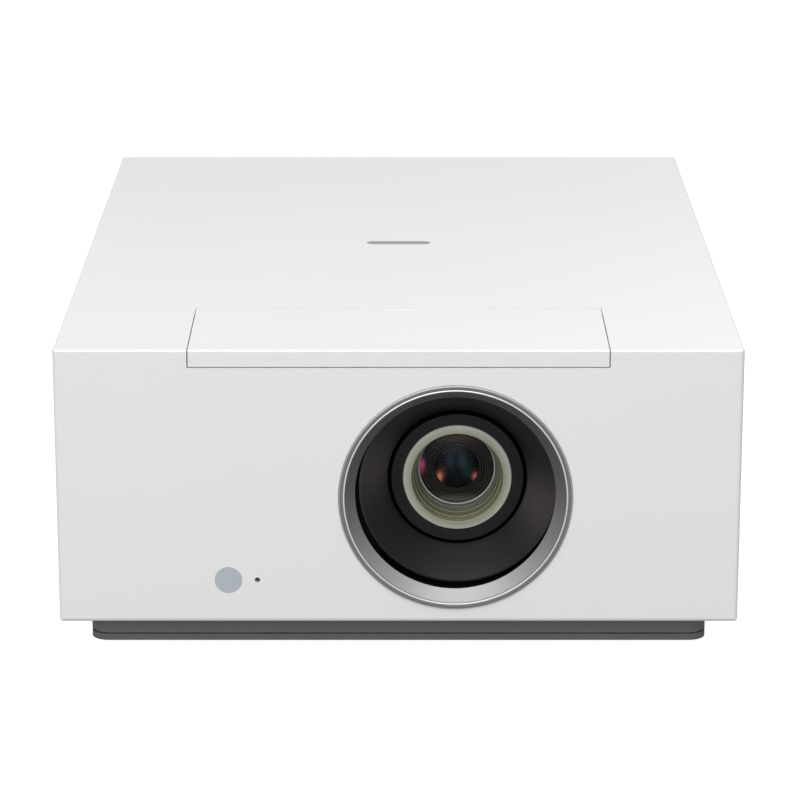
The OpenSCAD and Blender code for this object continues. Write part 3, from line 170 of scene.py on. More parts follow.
def buildEdgeWear():
    # mask of the outer edges, broken up by noise, from the curvature of the mesh
    group, source, sink = startGroup(
        "edgeWear",
        [("Point", "NodeSocketVector", None), ("Reach", "NodeSocketFloat", 0.0006),
         ("Break Up", "NodeSocketFloat", 0.5)],
        [("Mask", "NodeSocketFloat")])
    bevel = group.nodes.new("ShaderNodeBevel")
    bevel.samples = effects["wearSamples"]
    group.links.new(source.outputs["Reach"], bevel.inputs["Radius"])
    geometry = group.nodes.new("ShaderNodeNewGeometry")
    dot = group.nodes.new("ShaderNodeVectorMath")
    dot.operation = "DOT_PRODUCT"
    group.links.new(bevel.outputs["Normal"], dot.inputs[0])
    group.links.new(geometry.outputs["Normal"], dot.inputs[1])
    bend = addMath(group, "SUBTRACT", 1.0, dot.outputs["Value"])
    noise = group.nodes.new("ShaderNodeTexNoise")
    noise.inputs["Scale"].default_value = effects["wearScale"]
    noise.inputs["Detail"].default_value = effects["wearDetail"]
    group.links.new(source.outputs["Point"], noise.inputs["Vector"])
    broken = addMath(group, "MULTIPLY", noise.outputs["Fac"], source.outputs["Break Up"])
    keep = addMath(group, "SUBTRACT", 1.0, broken)
    mask = addMath(group, "MULTIPLY", addMath(group, "MULTIPLY", bend, effects["wearGain"]), keep)
    clamp = group.nodes.new("ShaderNodeClamp")
    group.links.new(mask, clamp.inputs["Value"])
    group.links.new(clamp.outputs["Result"], sink.inputs["Mask"])
    return group


def buildTurnedRings():
    # distance from the lens axis, with the fine rings that a lathe or a thread leaves
    group, source, sink = startGroup(
        "turnedRings",
        [("Point", "NodeSocketVector", None), ("Pitch", "NodeSocketFloat", 0.0005),
         ("Axis X", "NodeSocketFloat", 0.0), ("Axis Z", "NodeSocketFloat", 0.0)],
        [("Radius", "NodeSocketFloat"), ("Rings", "NodeSocketFloat"), ("Angle", "NodeSocketFloat")])
    split = group.nodes.new("ShaderNodeSeparateXYZ")
    group.links.new(source.outputs["Point"], split.inputs[0])
    dx = addMath(group, "SUBTRACT", split.outputs["X"], source.outputs["Axis X"])
    dz = addMath(group, "SUBTRACT", split.outputs["Z"], source.outputs["Axis Z"])
    squares = addMath(group, "ADD", addMath(group, "MULTIPLY", dx, dx), addMath(group, "MULTIPLY", dz, dz))
    radius = addMath(group, "SQRT", squares)
    turns = addMath(group, "DIVIDE", addMath(group, "MULTIPLY", radius, 2 * math.pi), source.outputs["Pitch"])
    rings = addMath(group, "MULTIPLY_ADD", addMath(group, "SINE", turns), 0.5, 0.5)
    group.links.new(radius, sink.inputs["Radius"])
    group.links.new(rings, sink.inputs["Rings"])
    group.links.new(addMath(group, "ARCTAN2", dz, dx), sink.inputs["Angle"])
    return group


def buildDust():
    # thin dust that settles on what faces up
    group, source, sink = startGroup(
        "settledDust",
        [("Point", "NodeSocketVector", None), ("Amount", "NodeSocketFloat", 0.2)],
        [("Mask", "NodeSocketFloat")])
    geometry = group.nodes.new("ShaderNodeNewGeometry")
    split = group.nodes.new("ShaderNodeSeparateXYZ")
    group.links.new(geometry.outputs["Normal"], split.inputs[0])
    up = addMath(group, "MAXIMUM", split.outputs["Z"], 0.0)
    noise = group.nodes.new("ShaderNodeTexNoise")
    noise.inputs["Scale"].default_value = effects["dustScale"]
    noise.inputs["Detail"].default_value = effects["dustDetail"]
    group.links.new(source.outputs["Point"], noise.inputs["Vector"])
    spread = addMath(group, "MULTIPLY", addMath(group, "MULTIPLY", up, noise.outputs["Fac"]),
                     source.outputs["Amount"])
    group.links.new(spread, sink.inputs["Mask"])
    return group


def buildPaintedGlint():
    # soft glowing spot of colour round a point, for the painted glints, reflections and light inside the lens
    group, source, sink = startGroup(
        "paintedGlint",
        [("Point", "NodeSocketVector", None), ("Centre", "NodeSocketVector", None),
         ("Spread", "NodeSocketVector", None)],
        [("Mask", "NodeSocketFloat")])
    away = group.nodes.new("ShaderNodeVectorMath")
    away.operation = "SUBTRACT"
    group.links.new(source.outputs["Point"], away.inputs[0])
    group.links.new(source.outputs["Centre"], away.inputs[1])
    stretched = group.nodes.new("ShaderNodeVectorMath")
    stretched.operation = "DIVIDE"
    group.links.new(away.outputs["Vector"], stretched.inputs[0])
    group.links.new(source.outputs["Spread"], stretched.inputs[1])
    length = group.nodes.new("ShaderNodeVectorMath")
    length.operation = "LENGTH"
    group.links.new(stretched.outputs["Vector"], length.inputs[0])
    square = addMath(group, "MULTIPLY", length.outputs["Value"], length.outputs["Value"])
    falloff = addMath(group, "EXPONENT", addMath(group, "MULTIPLY", square, -1.0))
    group.links.new(falloff, sink.inputs["Mask"])
    return group


mouldedGrain = buildMouldedGrain()
edgeWear = buildEdgeWear()
turnedRings = buildTurnedRings()
settledDust = buildDust()
paintedGlint = buildPaintedGlint()
print("stage: shared effects built")

# places worked out from the frame

bezelLow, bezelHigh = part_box("lens_bezel")
openingX = (bezelLow.x + bezelHigh.x) / 2
barrelLow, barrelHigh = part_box("lens_barrel")
lensX = (barrelLow.x + barrelHigh.x) / 2
lensZ = (barrelLow.z + barrelHigh.z) / 2
caseLow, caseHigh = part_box("upper_case")
frontY = caseLow.y
topZ = caseHigh.z


# materials

def ringsAbout(tree, point, pitch, axisX):
    return useGroup(tree, turnedRings, {"Pitch": pitch, "Axis X": axisX, "Axis Z": lensZ}, {"Point": point})


plasticLook = {
    "drift": 0.06, "deeper": 0.93, "wearReach": 0.0007, "breakUp": 0.6, "wearGain": 1.6, "wearLift": 0.02,
}
metalLook = {"drift": 0.1, "deeper": 0.88, "wearReach": 0.0006, "breakUp": 0.5, "wearColor": (0.8, 0.8, 0.8)}


def linkDrift(tree, grain, shader, amount, low):
    rough = addMath(tree, "MULTIPLY_ADD", grain.outputs["Drift"], amount, low)
    tree.links.new(rough, shader.inputs["Roughness"])


def addWear(tree, point, look, amount, tint, wearColor):
    edge = useGroup(tree, edgeWear, {"Reach": look["wearReach"], "Break Up": look["breakUp"]}, {"Point": point})
    return addMix(tree, addMath(tree, "MULTIPLY", edge.outputs["Mask"], amount), tint, wearColor)


def mouldedPlastic(name, color, roughness, grainSize, grainDepth, wear=0.0, coat=0.0, specular=0.5):
    # moulded part with a fine skin, and edges that shine a little where they are handled
    look = plasticLook
    material, tree, shader = newMaterial(name)
    point = objectPoint(tree)
    grain = useGroup(tree, mouldedGrain, {"Grain Size": grainSize}, {"Point": point})
    shader.inputs["Specular IOR Level"].default_value = specular
    shader.inputs["Coat Weight"].default_value = coat
    linkDrift(tree, grain, shader, look["drift"], roughness - look["drift"] / 2)
    tint = addMix(tree, grain.outputs["Drift"], scaled(color, look["deeper"]), color)
    if wear:
        paler = tuple(min(1, channel * look["wearGain"] + look["wearLift"]) for channel in color)
        tint = addWear(tree, point, look, wear, tint, paler)
    tree.links.new(tint, shader.inputs["Base Color"])
    bump = addBump(tree, grain.outputs["Height"], grainDepth)
    tree.links.new(bump, shader.inputs["Normal"])
    return material


def metal(name, color, roughness, grainSize, grainDepth, wear=0.0, stretch=None):
    # bare metal, its grain drawn out along one direction where it is rolled or drawn
    look = metalLook
    material, tree, shader = newMaterial(name)
    point = objectPoint(tree)
    if stretch:
        mapping = tree.nodes.new("ShaderNodeMapping")
        mapping.inputs["Scale"].default_value = stretch
        tree.links.new(point, mapping.inputs["Vector"])
        pattern = mapping.outputs["Vector"]
    else:
        pattern = point
    grain = useGroup(tree, mouldedGrain, {"Grain Size": grainSize}, {"Point": pattern})
    shader.inputs["Metallic"].default_value = 1.0
    linkDrift(tree, grain, shader, look["drift"], roughness - look["drift"] / 2)
    tint = addMix(tree, grain.outputs["Drift"], scaled(color, look["deeper"]), color)
    if wear:
        tint = addWear(tree, point, look, wear, tint, look["wearColor"])
    tree.links.new(tint, shader.inputs["Base Color"])
    tree.links.new(addBump(tree, grain.outputs["Height"], grainDepth), shader.inputs["Normal"])
    return material


whiteCase = {
    "color": (0.80, 0.80, 0.79), "deeper": 0.985, "roughness": 0.38, "drift": 0.06, "driftSize": 0.15,
    "specular": 0.45, "grainSize": 0.0005, "grainDepth": 0.000012,
    "dust": 0.05, "dustColor": (0.70, 0.69, 0.67),
    "markColor": (0.30, 0.30, 0.31), "markWidth": 0.032, "markLength": 0.0065, "markBehindFront": 0.204,
    "markSkin": 0.0002,
}


def buildWhiteCase():
    # satin white shell, with a plain printed bar on the top
    setting = whiteCase
    material, tree, shader = newMaterial("whiteCase")
    point = objectPoint(tree)
    grain = useGroup(tree, mouldedGrain, {
        "Grain Size": setting["grainSize"], "Drift Size": setting["driftSize"]}, {"Point": point})
    dust = useGroup(tree, settledDust, {"Amount": setting["dust"]}, {"Point": point})
    split = tree.nodes.new("ShaderNodeSeparateXYZ")
    tree.links.new(point, split.inputs[0])
    half = setting["markLength"] / 2
    reach = setting["markWidth"] / 2 - half
    beyond = addMath(tree, "SUBTRACT", addMath(tree, "ABSOLUTE", split.outputs["X"]), reach)
    along = addMath(tree, "MAXIMUM", beyond, 0.0)
    across = addMath(tree, "SUBTRACT", split.outputs["Y"], frontY + setting["markBehindFront"])
    spread = addMath(tree, "SQRT", addMath(tree, "ADD", addMath(tree, "MULTIPLY", along, along),
                                           addMath(tree, "MULTIPLY", across, across)))
    inside = addMath(tree, "LESS_THAN", spread, half)
    onTop = addMath(tree, "GREATER_THAN", split.outputs["Z"], topZ - setting["markSkin"])
    mark = addMath(tree, "MULTIPLY", inside, onTop)
    base = addMix(tree, grain.outputs["Drift"], scaled(setting["color"], setting["deeper"]), setting["color"])
    dusty = addMix(tree, dust.outputs["Mask"], base, setting["dustColor"])
    tree.links.new(addMix(tree, mark, dusty, setting["markColor"]), shader.inputs["Base Color"])
    linkDrift(tree, grain, shader, setting["drift"], setting["roughness"] - setting["drift"] / 2)
    tree.links.new(addBump(tree, grain.outputs["Height"], setting["grainDepth"]), shader.inputs["Normal"])
    shader.inputs["Specular IOR Level"].default_value = setting["specular"]
    return material


bezelSilverAndHighlights = {
    # crest and edge are painted highlights, and the lower part of the cone is painted light
    "rim": 0.23, "crest": 0.92, "cone": 0.19, "coneLitBelow": 0.74, "edge": 0.50,
    "roughness": 0.34, "metallic": 0.55,
    "crestRadius": 50.65, "crestHalf": 0.40, "crestSoft": (0.05, 0.1), "coneRadius": 50.2, "coneSoft": 0.3,
    "edgeRadius": 52.6, "edgeSoft": 0.1, "litBelowPower": 2.6, "grainSize": 0.00025, "drift": 0.05,
    "speck": (0.24, 0.86), "pitch": 0.00022, "ringDepth": 0.000004, "ringShare": 0.6, "grainShare": 0.8,
}


def buildBezelSilverAndHighlights():
    # sprayed silver with the faint rings of a turned part, a painted highlight along the crest and round the
    # outer edge, and painted light on the lower half of the cone
    setting = bezelSilverAndHighlights
    material, tree, shader = newMaterial("bezelSilverAndHighlights")
    point = objectPoint(tree)
    rings = ringsAbout(tree, point, setting["pitch"], openingX)
    grain = useGroup(tree, mouldedGrain, {"Grain Size": setting["grainSize"]}, {"Point": point})
    shader.inputs["Metallic"].default_value = setting["metallic"]
    linkDrift(tree, grain, shader, setting["drift"], setting["roughness"])
    radius = rings.outputs["Radius"]
    fromCrest = addMath(tree, "ABSOLUTE", addMath(tree, "SUBTRACT", radius, setting["crestRadius"] * mm))
    outer, inner = setting["crestSoft"]
    half, cone, edge = setting["crestHalf"], setting["coneRadius"], setting["edgeRadius"]
    # painted highlights: a thin bright ring on the crest and another round the outer edge
    crestHighlight = addStep(tree, fromCrest, (half + outer) * mm, (half - inner) * mm)
    onCone = addStep(tree, radius, cone * mm, (cone - setting["coneSoft"]) * mm)
    edgeHighlight = addStep(tree, radius, (edge - setting["edgeSoft"]) * mm, edge * mm)
    # painted light: the cone grows lighter towards its bottom and stays darker at the top
    low = addMath(tree, "MULTIPLY_ADD", addMath(tree, "SINE", rings.outputs["Angle"]), -0.5, 0.5)
    low = addMath(tree, "POWER", low, setting["litBelowPower"])
    rim = setting["rim"]
    shade = addMath(tree, "MULTIPLY_ADD", low, setting["coneLitBelow"] - setting["cone"], setting["cone"] - rim)
    shade = addMath(tree, "MULTIPLY", shade, onCone)
    shade = addMath(tree, "MULTIPLY_ADD", edgeHighlight, setting["edge"] - rim, shade)
    shade = addMath(tree, "MULTIPLY_ADD", crestHighlight, setting["crest"] - rim, shade)
    shade = addMath(tree, "ADD", shade, rim)
    grit = addMath(tree, "MULTIPLY_ADD", grain.outputs["Height"], *setting["speck"])
    speck = addMath(tree, "MULTIPLY", shade, grit)
    tone = tree.nodes.new("ShaderNodeCombineColor")
    for channel in range(3):
        tree.links.new(speck, tone.inputs[channel])
    tree.links.new(tone.outputs[0], shader.inputs["Base Color"])
    height = addMath(tree, "ADD", addMath(tree, "MULTIPLY", rings.outputs["Rings"], setting["ringShare"]),
                     addMath(tree, "MULTIPLY", grain.outputs["Height"], setting["grainShare"]))
    tree.links.new(addBump(tree, height, setting["ringDepth"]), shader.inputs["Normal"])
    return material


blackLook = {"grainSize": 0.0003, "drift": 0.08, "deeper": 0.75, "grainShare": 0.15}


def ringedBlack(name, color, roughness, pitch, depth, specular=0.5):
    # black part with turned rings about the lens axis
    look = blackLook
    material, tree, shader = newMaterial(name)
    point = objectPoint(tree)
    rings = ringsAbout(tree, point, pitch, lensX)
    grain = useGroup(tree, mouldedGrain, {"Grain Size": look["grainSize"]}, {"Point": point})
    shader.inputs["Specular IOR Level"].default_value = specular
    linkDrift(tree, grain, shader, look["drift"], roughness - look["drift"] / 2)
    tint = addMix(tree, rings.outputs["Rings"], scaled(color, look["deeper"]), color)
    tree.links.new(tint, shader.inputs["Base Color"])
    height = addMath(tree, "ADD", rings.outputs["Rings"],
                     addMath(tree, "MULTIPLY", grain.outputs["Height"], look["grainShare"]))
    tree.links.new(addBump(tree, height, depth), shader.inputs["Normal"])
    return material


shroudBlackAndSheen = {
    "color": (0.0115, 0.0115, 0.0145), "sheenColor": (0.070, 0.058, 0.068), "roughness": 0.42, "drift": 0.06,
    "pitch": 0.0004, "grainSize": 0.0003, "sheenTurn": 0.22, "sheenPower": 14.0, "sheenBlend": (0.6, 0.6),
    "ringShare": 0.2, "depth": 0.00001,
}


def buildShroudBlackAndSheen():
    # black sprayed cone with a painted warm violet sheen on its two sides
    setting = shroudBlackAndSheen
    material, tree, shader = newMaterial("shroudBlackAndSheen")
    point = objectPoint(tree)
    rings = ringsAbout(tree, point, setting["pitch"], lensX)
    grain = useGroup(tree, mouldedGrain, {"Grain Size": setting["grainSize"]}, {"Point": point})
    # painted sheen, strongest on the left and right of the cone
    turned = addMath(tree, "ADD", rings.outputs["Angle"], setting["sheenTurn"])
    sheenSides = addMath(tree, "ABSOLUTE", addMath(tree, "COSINE", turned))
    mask = addMath(tree, "POWER", sheenSides, setting["sheenPower"])
    patchy = addMath(tree, "MULTIPLY_ADD", grain.outputs["Drift"], *setting["sheenBlend"])
    soft = addMath(tree, "MULTIPLY", mask, patchy)
    tree.links.new(addMix(tree, soft, setting["color"], setting["sheenColor"]), shader.inputs["Base Color"])
    linkDrift(tree, grain, shader, setting["drift"], setting["roughness"] - setting["drift"] / 2)
    height = addMath(tree, "ADD", grain.outputs["Height"],
                     addMath(tree, "MULTIPLY", rings.outputs["Rings"], setting["ringShare"]))
    tree.links.new(addBump(tree, height, setting["depth"]), shader.inputs["Normal"])
    return material


glassLook = {"grainSize": 0.004, "drift": 0.01, "deeper": 0.98}


def clearGlass(name, color, ior):
    # clear glass with a trace of haze that drifts over it
    look = glassLook
    material, tree, shader = newMaterial(name)
    grain = useGroup(tree, mouldedGrain, {"Grain Size": look["grainSize"]}, {"Point": objectPoint(tree)})
    shader.inputs["Transmission Weight"].default_value = 1.0
    shader.inputs["IOR"].default_value = ior
    linkDrift(tree, grain, shader, look["drift"], 0.0)
    tint = addMix(tree, grain.outputs["Drift"], scaled(color, look["deeper"]), color)
    tree.links.new(tint, shader.inputs["Base Color"])
    return material


# each line gives the colour, the roughness, then the size and the depth of the grain or of the turned
# rings; glass has its colour and its index instead
finishes = {
    "whiteCase": buildWhiteCase(),
    "whiteGrille": mouldedPlastic("whiteGrille", (0.74, 0.74, 0.73), 0.45, 0.0005, 0.00002),
    "greyInner": mouldedPlastic("greyInner", (0.66, 0.66, 0.65), 0.5, 0.0006, 0.00004),
    "baseGrey": mouldedPlastic("baseGrey", (0.15, 0.15, 0.15), 0.42, 0.0004, 0.00002, wear=0.25),
    "bezelSilverAndHighlights": buildBezelSilverAndHighlights(),
    "blackPlastic": mouldedPlastic("blackPlastic", (0.016, 0.016, 0.017), 0.45, 0.0005, 0.00003, wear=0.15),
    "tunnelBlack": mouldedPlastic("tunnelBlack", (0.020, 0.020, 0.021), 0.5, 0.0004, 0.00002),
    "shroudBlack": buildShroudBlackAndSheen(),
    "barrelBlack": ringedBlack("barrelBlack", (0.012, 0.012, 0.013), 0.5, 0.00065, 0.00005, specular=0.22),
    "innerBlack": ringedBlack("innerBlack", (0.012, 0.012, 0.012), 0.4, 0.0005, 0.00003),
    "paleCell": mouldedPlastic("paleCell", (0.52, 0.54, 0.42), 0.5, 0.0002, 0.00001),
    "steel": metal("steel", (0.62, 0.62, 0.63), 0.28, 0.0008, 0.000005, stretch=(1, 1, 12)),
    "pressedSteel": metal("pressedSteel", (0.55, 0.55, 0.56), 0.33, 0.0006, 0.000005),
    "castAlloy": metal("castAlloy", (0.42, 0.43, 0.44), 0.5, 0.0008, 0.00006, wear=0.4),
    "sinkAlloy": metal("sinkAlloy", (0.70, 0.71, 0.72), 0.35, 0.0006, 0.00001, stretch=(1, 1, 14)),
    "brass": metal("brass", (0.78, 0.56, 0.24), 0.32, 0.0006, 0.00001),
    "phosphor": mouldedPlastic("phosphor", (0.72, 0.62, 0.10), 0.6, 0.0003, 0.00002),
    "boardGreen": mouldedPlastic("boardGreen", (0.012, 0.09, 0.035), 0.35, 0.0006, 0.00001, coat=0.3),
    "boardTan": mouldedPlastic("boardTan", (0.36, 0.24, 0.10), 0.5, 0.0006, 0.00002),
    "buttonGrey": mouldedPlastic("buttonGrey", (0.50, 0.50, 0.50), 0.4, 0.0004, 0.00001),
    "rubber": mouldedPlastic("rubber", (0.02, 0.02, 0.02), 0.8, 0.0006, 0.00005),
    "receiver": mouldedPlastic("receiver", (0.46, 0.50, 0.55), 0.22, 0.0004, 0.000003, coat=0.5),
    # flat black without shine, for the ring of painted shade in the lens gap
    "shadeBlack": mouldedPlastic("shadeBlack", (0.0015, 0.0015, 0.0015), 1.0, 0.0004, 0.00004, specular=0.0),
    # near white, so the retaining ring gives a painted highlight arc
    "retainerHighlight": mouldedPlastic("retainerHighlight", (0.90, 0.90, 0.88), 0.25, 0.0003, 0.000002, coat=0.4),
    "lensGlass": clearGlass("lensGlass", (0.97, 1.0, 0.98), 1.5),
    "prismGlass": clearGlass("prismGlass", (0.93, 0.98, 1.0), 1.52),
}
print("stage:", len(finishes), "finishes built")

finishOf = {
    "upper_case": "whiteCase", "rear_panel": "whiteCase", "bottom_case": "whiteCase",
    "adjustment_lid": "whiteCase", "left_grille": "whiteGrille", "right_grille": "whiteGrille",
    "base_plinth": "baseGrey", "base_plate": "baseGrey", "lid_hinge_pins": "steel",
    "adjuster_tray": "greyInner", "lens_bezel": "bezelSilverAndHighlights", "lens_tunnel": "tunnelBlack",
    "lens_shroud": "shroudBlack", "ir_window": "receiver", "sensor_board": "boardGreen",
    "lens_mount_frame": "castAlloy", "horizontal_guide_rods": "steel", "horizontal_carriage": "castAlloy",
    "vertical_guide_rods": "steel", "vertical_carriage": "castAlloy", "horizontal_shift_dial": "blackPlastic",
    "vertical_shift_dial": "blackPlastic", "lens_barrel": "barrelBlack", "front_lens_cell": "paleCell",
    "front_element": "lensGlass", "front_baffle": "innerBlack", "focus_ring": "blackPlastic",
    "zoom_ring": "blackPlastic", "zoom_group": "innerBlack", "rear_lens_group": "innerBlack",
    "optical_engine_case": "castAlloy", "optical_engine_cover": "castAlloy", "prism": "prismGlass",
    "imager_board": "boardGreen", "imager_heatsink": "sinkAlloy", "laser_bank": "brass",
    "laser_heatsink": "sinkAlloy", "phosphor_wheel": "phosphor", "wheel_motor": "steel",
    "relay_lenses": "prismGlass", "main_board": "boardGreen", "power_supply_board": "boardTan",
    "signal_sockets": "pressedSteel", "lan_socket": "blackPlastic", "audio_jack": "blackPlastic",
    "mains_inlet": "blackPlastic", "power_button": "buttonGrey", "left_speaker": "blackPlastic",
    "right_speaker": "blackPlastic", "intake_fan_frame": "blackPlastic", "intake_fan_rotor": "blackPlastic",
    "exhaust_fan_frame": "blackPlastic", "exhaust_fan_rotor": "blackPlastic", "left_foot_pad": "rubber",
    "left_foot_screw": "steel", "right_foot_pad": "rubber", "right_foot_screw": "steel",
    "rear_feet": "rubber", "mount_inserts": "brass", "case_screws": "steel",
}
for nodeName, finishName in finishOf.items():
    slots = nodes[nodeName].data.materials
    slots.clear()
    slots.append(finishes[finishName])
print("stage: finishes put on", len(finishOf), "pieces")

# lens

turning = {"steps": 160, "smoothBelow": 28, "domeSteps": 14, "axisRadius": 1e-6}


def turnedPiece(name, outline, finish, body, steps=turning["steps"], axisX=None):
    # a solid of revolution about the lens axis; the outline is radius and depth in millimetres
    centreX = lensX if axisX is None else axisX
    mesh = bpy.data.meshes.new(name)
    work = bmesh.new()
    rings = []
    for radius, depth in outline:
        if radius < turning["axisRadius"]:
            rings.append([work.verts.new((centreX, depth * mm, lensZ))])
            continue
        turns = [2 * math.pi * step / steps for step in range(steps)]
        rings.append([work.verts.new((centreX + radius * mm * math.cos(turn), depth * mm,
                                      lensZ + radius * mm * math.sin(turn))) for turn in turns])
    closed = len(rings[0]) > 1 and len(rings[-1]) > 1
    pairs = list(zip(rings, rings[1:])) + ([(rings[-1], rings[0])] if closed else [])
    for first, second in pairs:
        for step in range(steps):
            after = (step + 1) % steps
            corners = [first[step % len(first)], first[after % len(first)],
                       second[after % len(second)], second[step % len(second)]]
            unique = list(dict.fromkeys(corners))
            if len(unique) > 2:
                work.faces.new(unique)
    bmesh.ops.recalc_face_normals(work, faces=work.faces)
    work.to_mesh(mesh)
    work.free()
    for polygon in mesh.polygons:
        polygon.use_smooth = True
    mesh.set_sharp_from_angle(angle=math.radians(turning["smoothBelow"]))
    piece = bpy.data.objects.new(name, mesh)
    bpy.context.scene.collection.objects.link(piece)
    mesh.materials.append(finish)
    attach(piece, body)
    return piece


def domeOutline(radius, rim, curve, thickness):
    # a thin bowl of glass: front face out to the rim, then the back face in to the axis
    front, back = [], []
    steps = turning["domeSteps"]
    edge = curve - math.sqrt(curve * curve - radius * radius)
    for step in range(steps + 1):
        reach = radius * step / steps
        sag = curve - math.sqrt(curve * curve - reach * reach)
        front.append((reach, rim - edge + sag))
        back.append((reach, rim - edge + sag + thickness))
    return front + back[::-1]


lensCell = {
    "ring": (0.56, 0.57, 0.50), "ringInner": (0.34, 0.35, 0.26), "chalk": (0.50, 0.53, 0.55),
    "wall": (0.26, 0.255, 0.165), "deep": (0.26, 0.26, 0.25), "blotch": (0.86, 0.88, 0.80),
    "wallFrom": 21.2, "wallSoft": 0.25, "deepFrom": -163.5, "deepSoft": 2.5, "chalkFrom": 24.75,
    "chalkSoft": (0.3, 0.2), "pitch": 0.0011, "grainSize": 0.0006, "driftSize": 0.01, "roughness": 0.42,
    "depth": 0.000015,
}


def buildCellFinish():
    # pale sprayed ring, olive wall behind it that turns grey further in
    setting = lensCell
    material, tree, shader = newMaterial("cellFinish")
    point = objectPoint(tree)
    rings = ringsAbout(tree, point, setting["pitch"], lensX)
    grain = useGroup(tree, mouldedGrain, {
        "Grain Size": setting["grainSize"], "Drift Size": setting["driftSize"]}, {"Point": point})
    split = tree.nodes.new("ShaderNodeSeparateXYZ")
    tree.links.new(point, split.inputs[0])
    radius = rings.outputs["Radius"]
    wallFrom, wallSoft = setting["wallFrom"], setting["wallSoft"]
    deepFrom, deepSoft = setting["deepFrom"], setting["deepSoft"]
    chalkFrom, (chalkIn, chalkOut) = setting["chalkFrom"], setting["chalkSoft"]
    outward = addStep(tree, radius, (wallFrom - wallSoft) * mm, (wallFrom + wallSoft) * mm)
    inward = addStep(tree, split.outputs["Y"], (deepFrom - deepSoft) * mm, (deepFrom + deepSoft) * mm)
    rim = addStep(tree, radius, (chalkFrom - chalkIn) * mm, (chalkFrom + chalkOut) * mm)
    wall = addMix(tree, inward, setting["wall"], setting["deep"])
    paler = addStep(tree, radius, wallFrom * mm, chalkFrom * mm)
    sprayed = addMix(tree, paler, setting["ringInner"], setting["ring"])
    face = addMix(tree, rim, sprayed, setting["chalk"])
    tint = addMix(tree, outward, wall, face)
    blotch = addMix(tree, grain.outputs["Drift"], setting["blotch"], (1.0, 1.0, 1.0))
    blend = tree.nodes.new("ShaderNodeMix")
    blend.data_type = "RGBA"
    blend.blend_type = "MULTIPLY"
    blend.inputs[0].default_value = 1.0
    tree.links.new(tint, blend.inputs[6])
    tree.links.new(blotch, blend.inputs[7])
    tree.links.new(blend.outputs[2], shader.inputs["Base Color"])
    shader.inputs["Roughness"].default_value = setting["roughness"]
    height = addMath(tree, "ADD", rings.outputs["Rings"], grain.outputs["Height"])
    tree.links.new(addBump(tree, height, setting["depth"]), shader.inputs["Normal"])
    return material


# each painted glint or glow has its centre from the lens axis and its spread in millimetres, then the colour it
# glows with
innerRingsAndGlints = {
    "color": (0.007, 0.006, 0.005), "shine": 0.1, "roughness": 0.35, "ringGain": 6.0, "pitch": 0.0012,
    "depth": 0.00008,
    # painted light: a magenta glint on the left, a brown glow over the top and a grey glow on the lower part
    "spots": {
        "magentaGlint": ((-16.2, -157.0, 1.0), (1.2, 8, 3.0), (0.30, 0.04, 0.12)),
        "brownGlowTop": ((0.0, -157.0, 14.5), (13.0, 8, 3.0), (0.020, 0.007, 0.004)),
        "lowerGlow": ((0.0, -157.0, -15.5), (13.0, 8, 1.6), (0.040, 0.040, 0.034)),
    },
}
pupilAndGlints = {
    "color": (0.002, 0.0025, 0.003), "shine": 0.06, "roughness": 0.22, "paler": 1.5, "grainSize": 0.002,
    # painted glints and painted reflections of the lamps on the pupil glass, glowing orange, pink, blue and
    # teal
    "spots": {
        "orangeGlintLeft": ((-8.0, -158.0, -4.7), (1.2, 8, 2.1), (0.48, 0.16, 0.08)),
        "orangeGlintHalo": ((-6.9, -158.0, -2.5), (1.6, 8, 2.8), (0.06, 0.018, 0.014)),
        "pinkGlintRight": ((8.5, -158.0, -4.6), (1.2, 8, 1.9), (0.36, 0.09, 0.09)),
        "windowReflectionLeft": ((-3.0, -158.0, 3.5), (2.2, 8, 3.6), (0.012, 0.018, 0.030)),
        "windowReflectionRight": ((2.6, -158.0, 3.5), (2.0, 8, 3.6), (0.014, 0.026, 0.030)),
        "tealReflection": ((5.0, -158.0, -1.5), (2.4, 8, 4.0), (0.002, 0.014, 0.013)),
    },
}


def buildCoatedWithGlints(name, setting, ringed):
    # near black coated surface that holds a few soft glowing patches of colour: painted glints, reflections and
    # light
    material, tree, shader = newMaterial(name)
    point = objectPoint(tree)
    if ringed:
        turned = ringsAbout(tree, point, setting["pitch"], lensX)
        lighter = scaled(setting["color"], setting["ringGain"])
        tint = addMix(tree, turned.outputs["Rings"], setting["color"], lighter)
        tree.links.new(addBump(tree, turned.outputs["Rings"], setting["depth"]), shader.inputs["Normal"])
    else:
        grain = useGroup(tree, mouldedGrain, {"Grain Size": setting["grainSize"]}, {"Point": point})
        paler = scaled(setting["color"], setting["paler"])
        tint = addMix(tree, grain.outputs["Drift"], setting["color"], paler)
    tree.links.new(tint, shader.inputs["Base Color"])
    light = (0, 0, 0, 1)
    for centre, spread, color in setting["spots"].values():
        spot = useGroup(tree, paintedGlint, {
            "Centre": (lensX + centre[0] * mm, centre[1] * mm, lensZ + centre[2] * mm),
            "Spread": tuple(part * mm for part in spread)}, {"Point": point})
        add = tree.nodes.new("ShaderNodeMix")
        add.data_type = "RGBA"
        add.blend_type = "ADD"
        tree.links.new(spot.outputs["Mask"], add.inputs[0])
        if isinstance(light, tuple):
            add.inputs[6].default_value = light
        else:
            tree.links.new(light, add.inputs[6])
        add.inputs[7].default_value = (*color, 1)
        light = add.outputs[2]
    # the patches glow through the emission: painted light, glints and reflections
    tree.links.new(light, shader.inputs["Emission Color"])
    shader.inputs["Emission Strength"].default_value = 1.0
    shader.inputs["Roughness"].default_value = setting["roughness"]
    shader.inputs["Specular IOR Level"].default_value = setting["shine"]
    return material


frontGlass = {
    "color": (0.045, 0.06, 0.066), "deeper": 0.9, "alpha": 0.06, "roughness": 0.32, "grainSize": 0.01,
    "bowl": {"radius": 20.95, "rim": -170.0, "curve": 62.0, "thickness": 0.7},
}


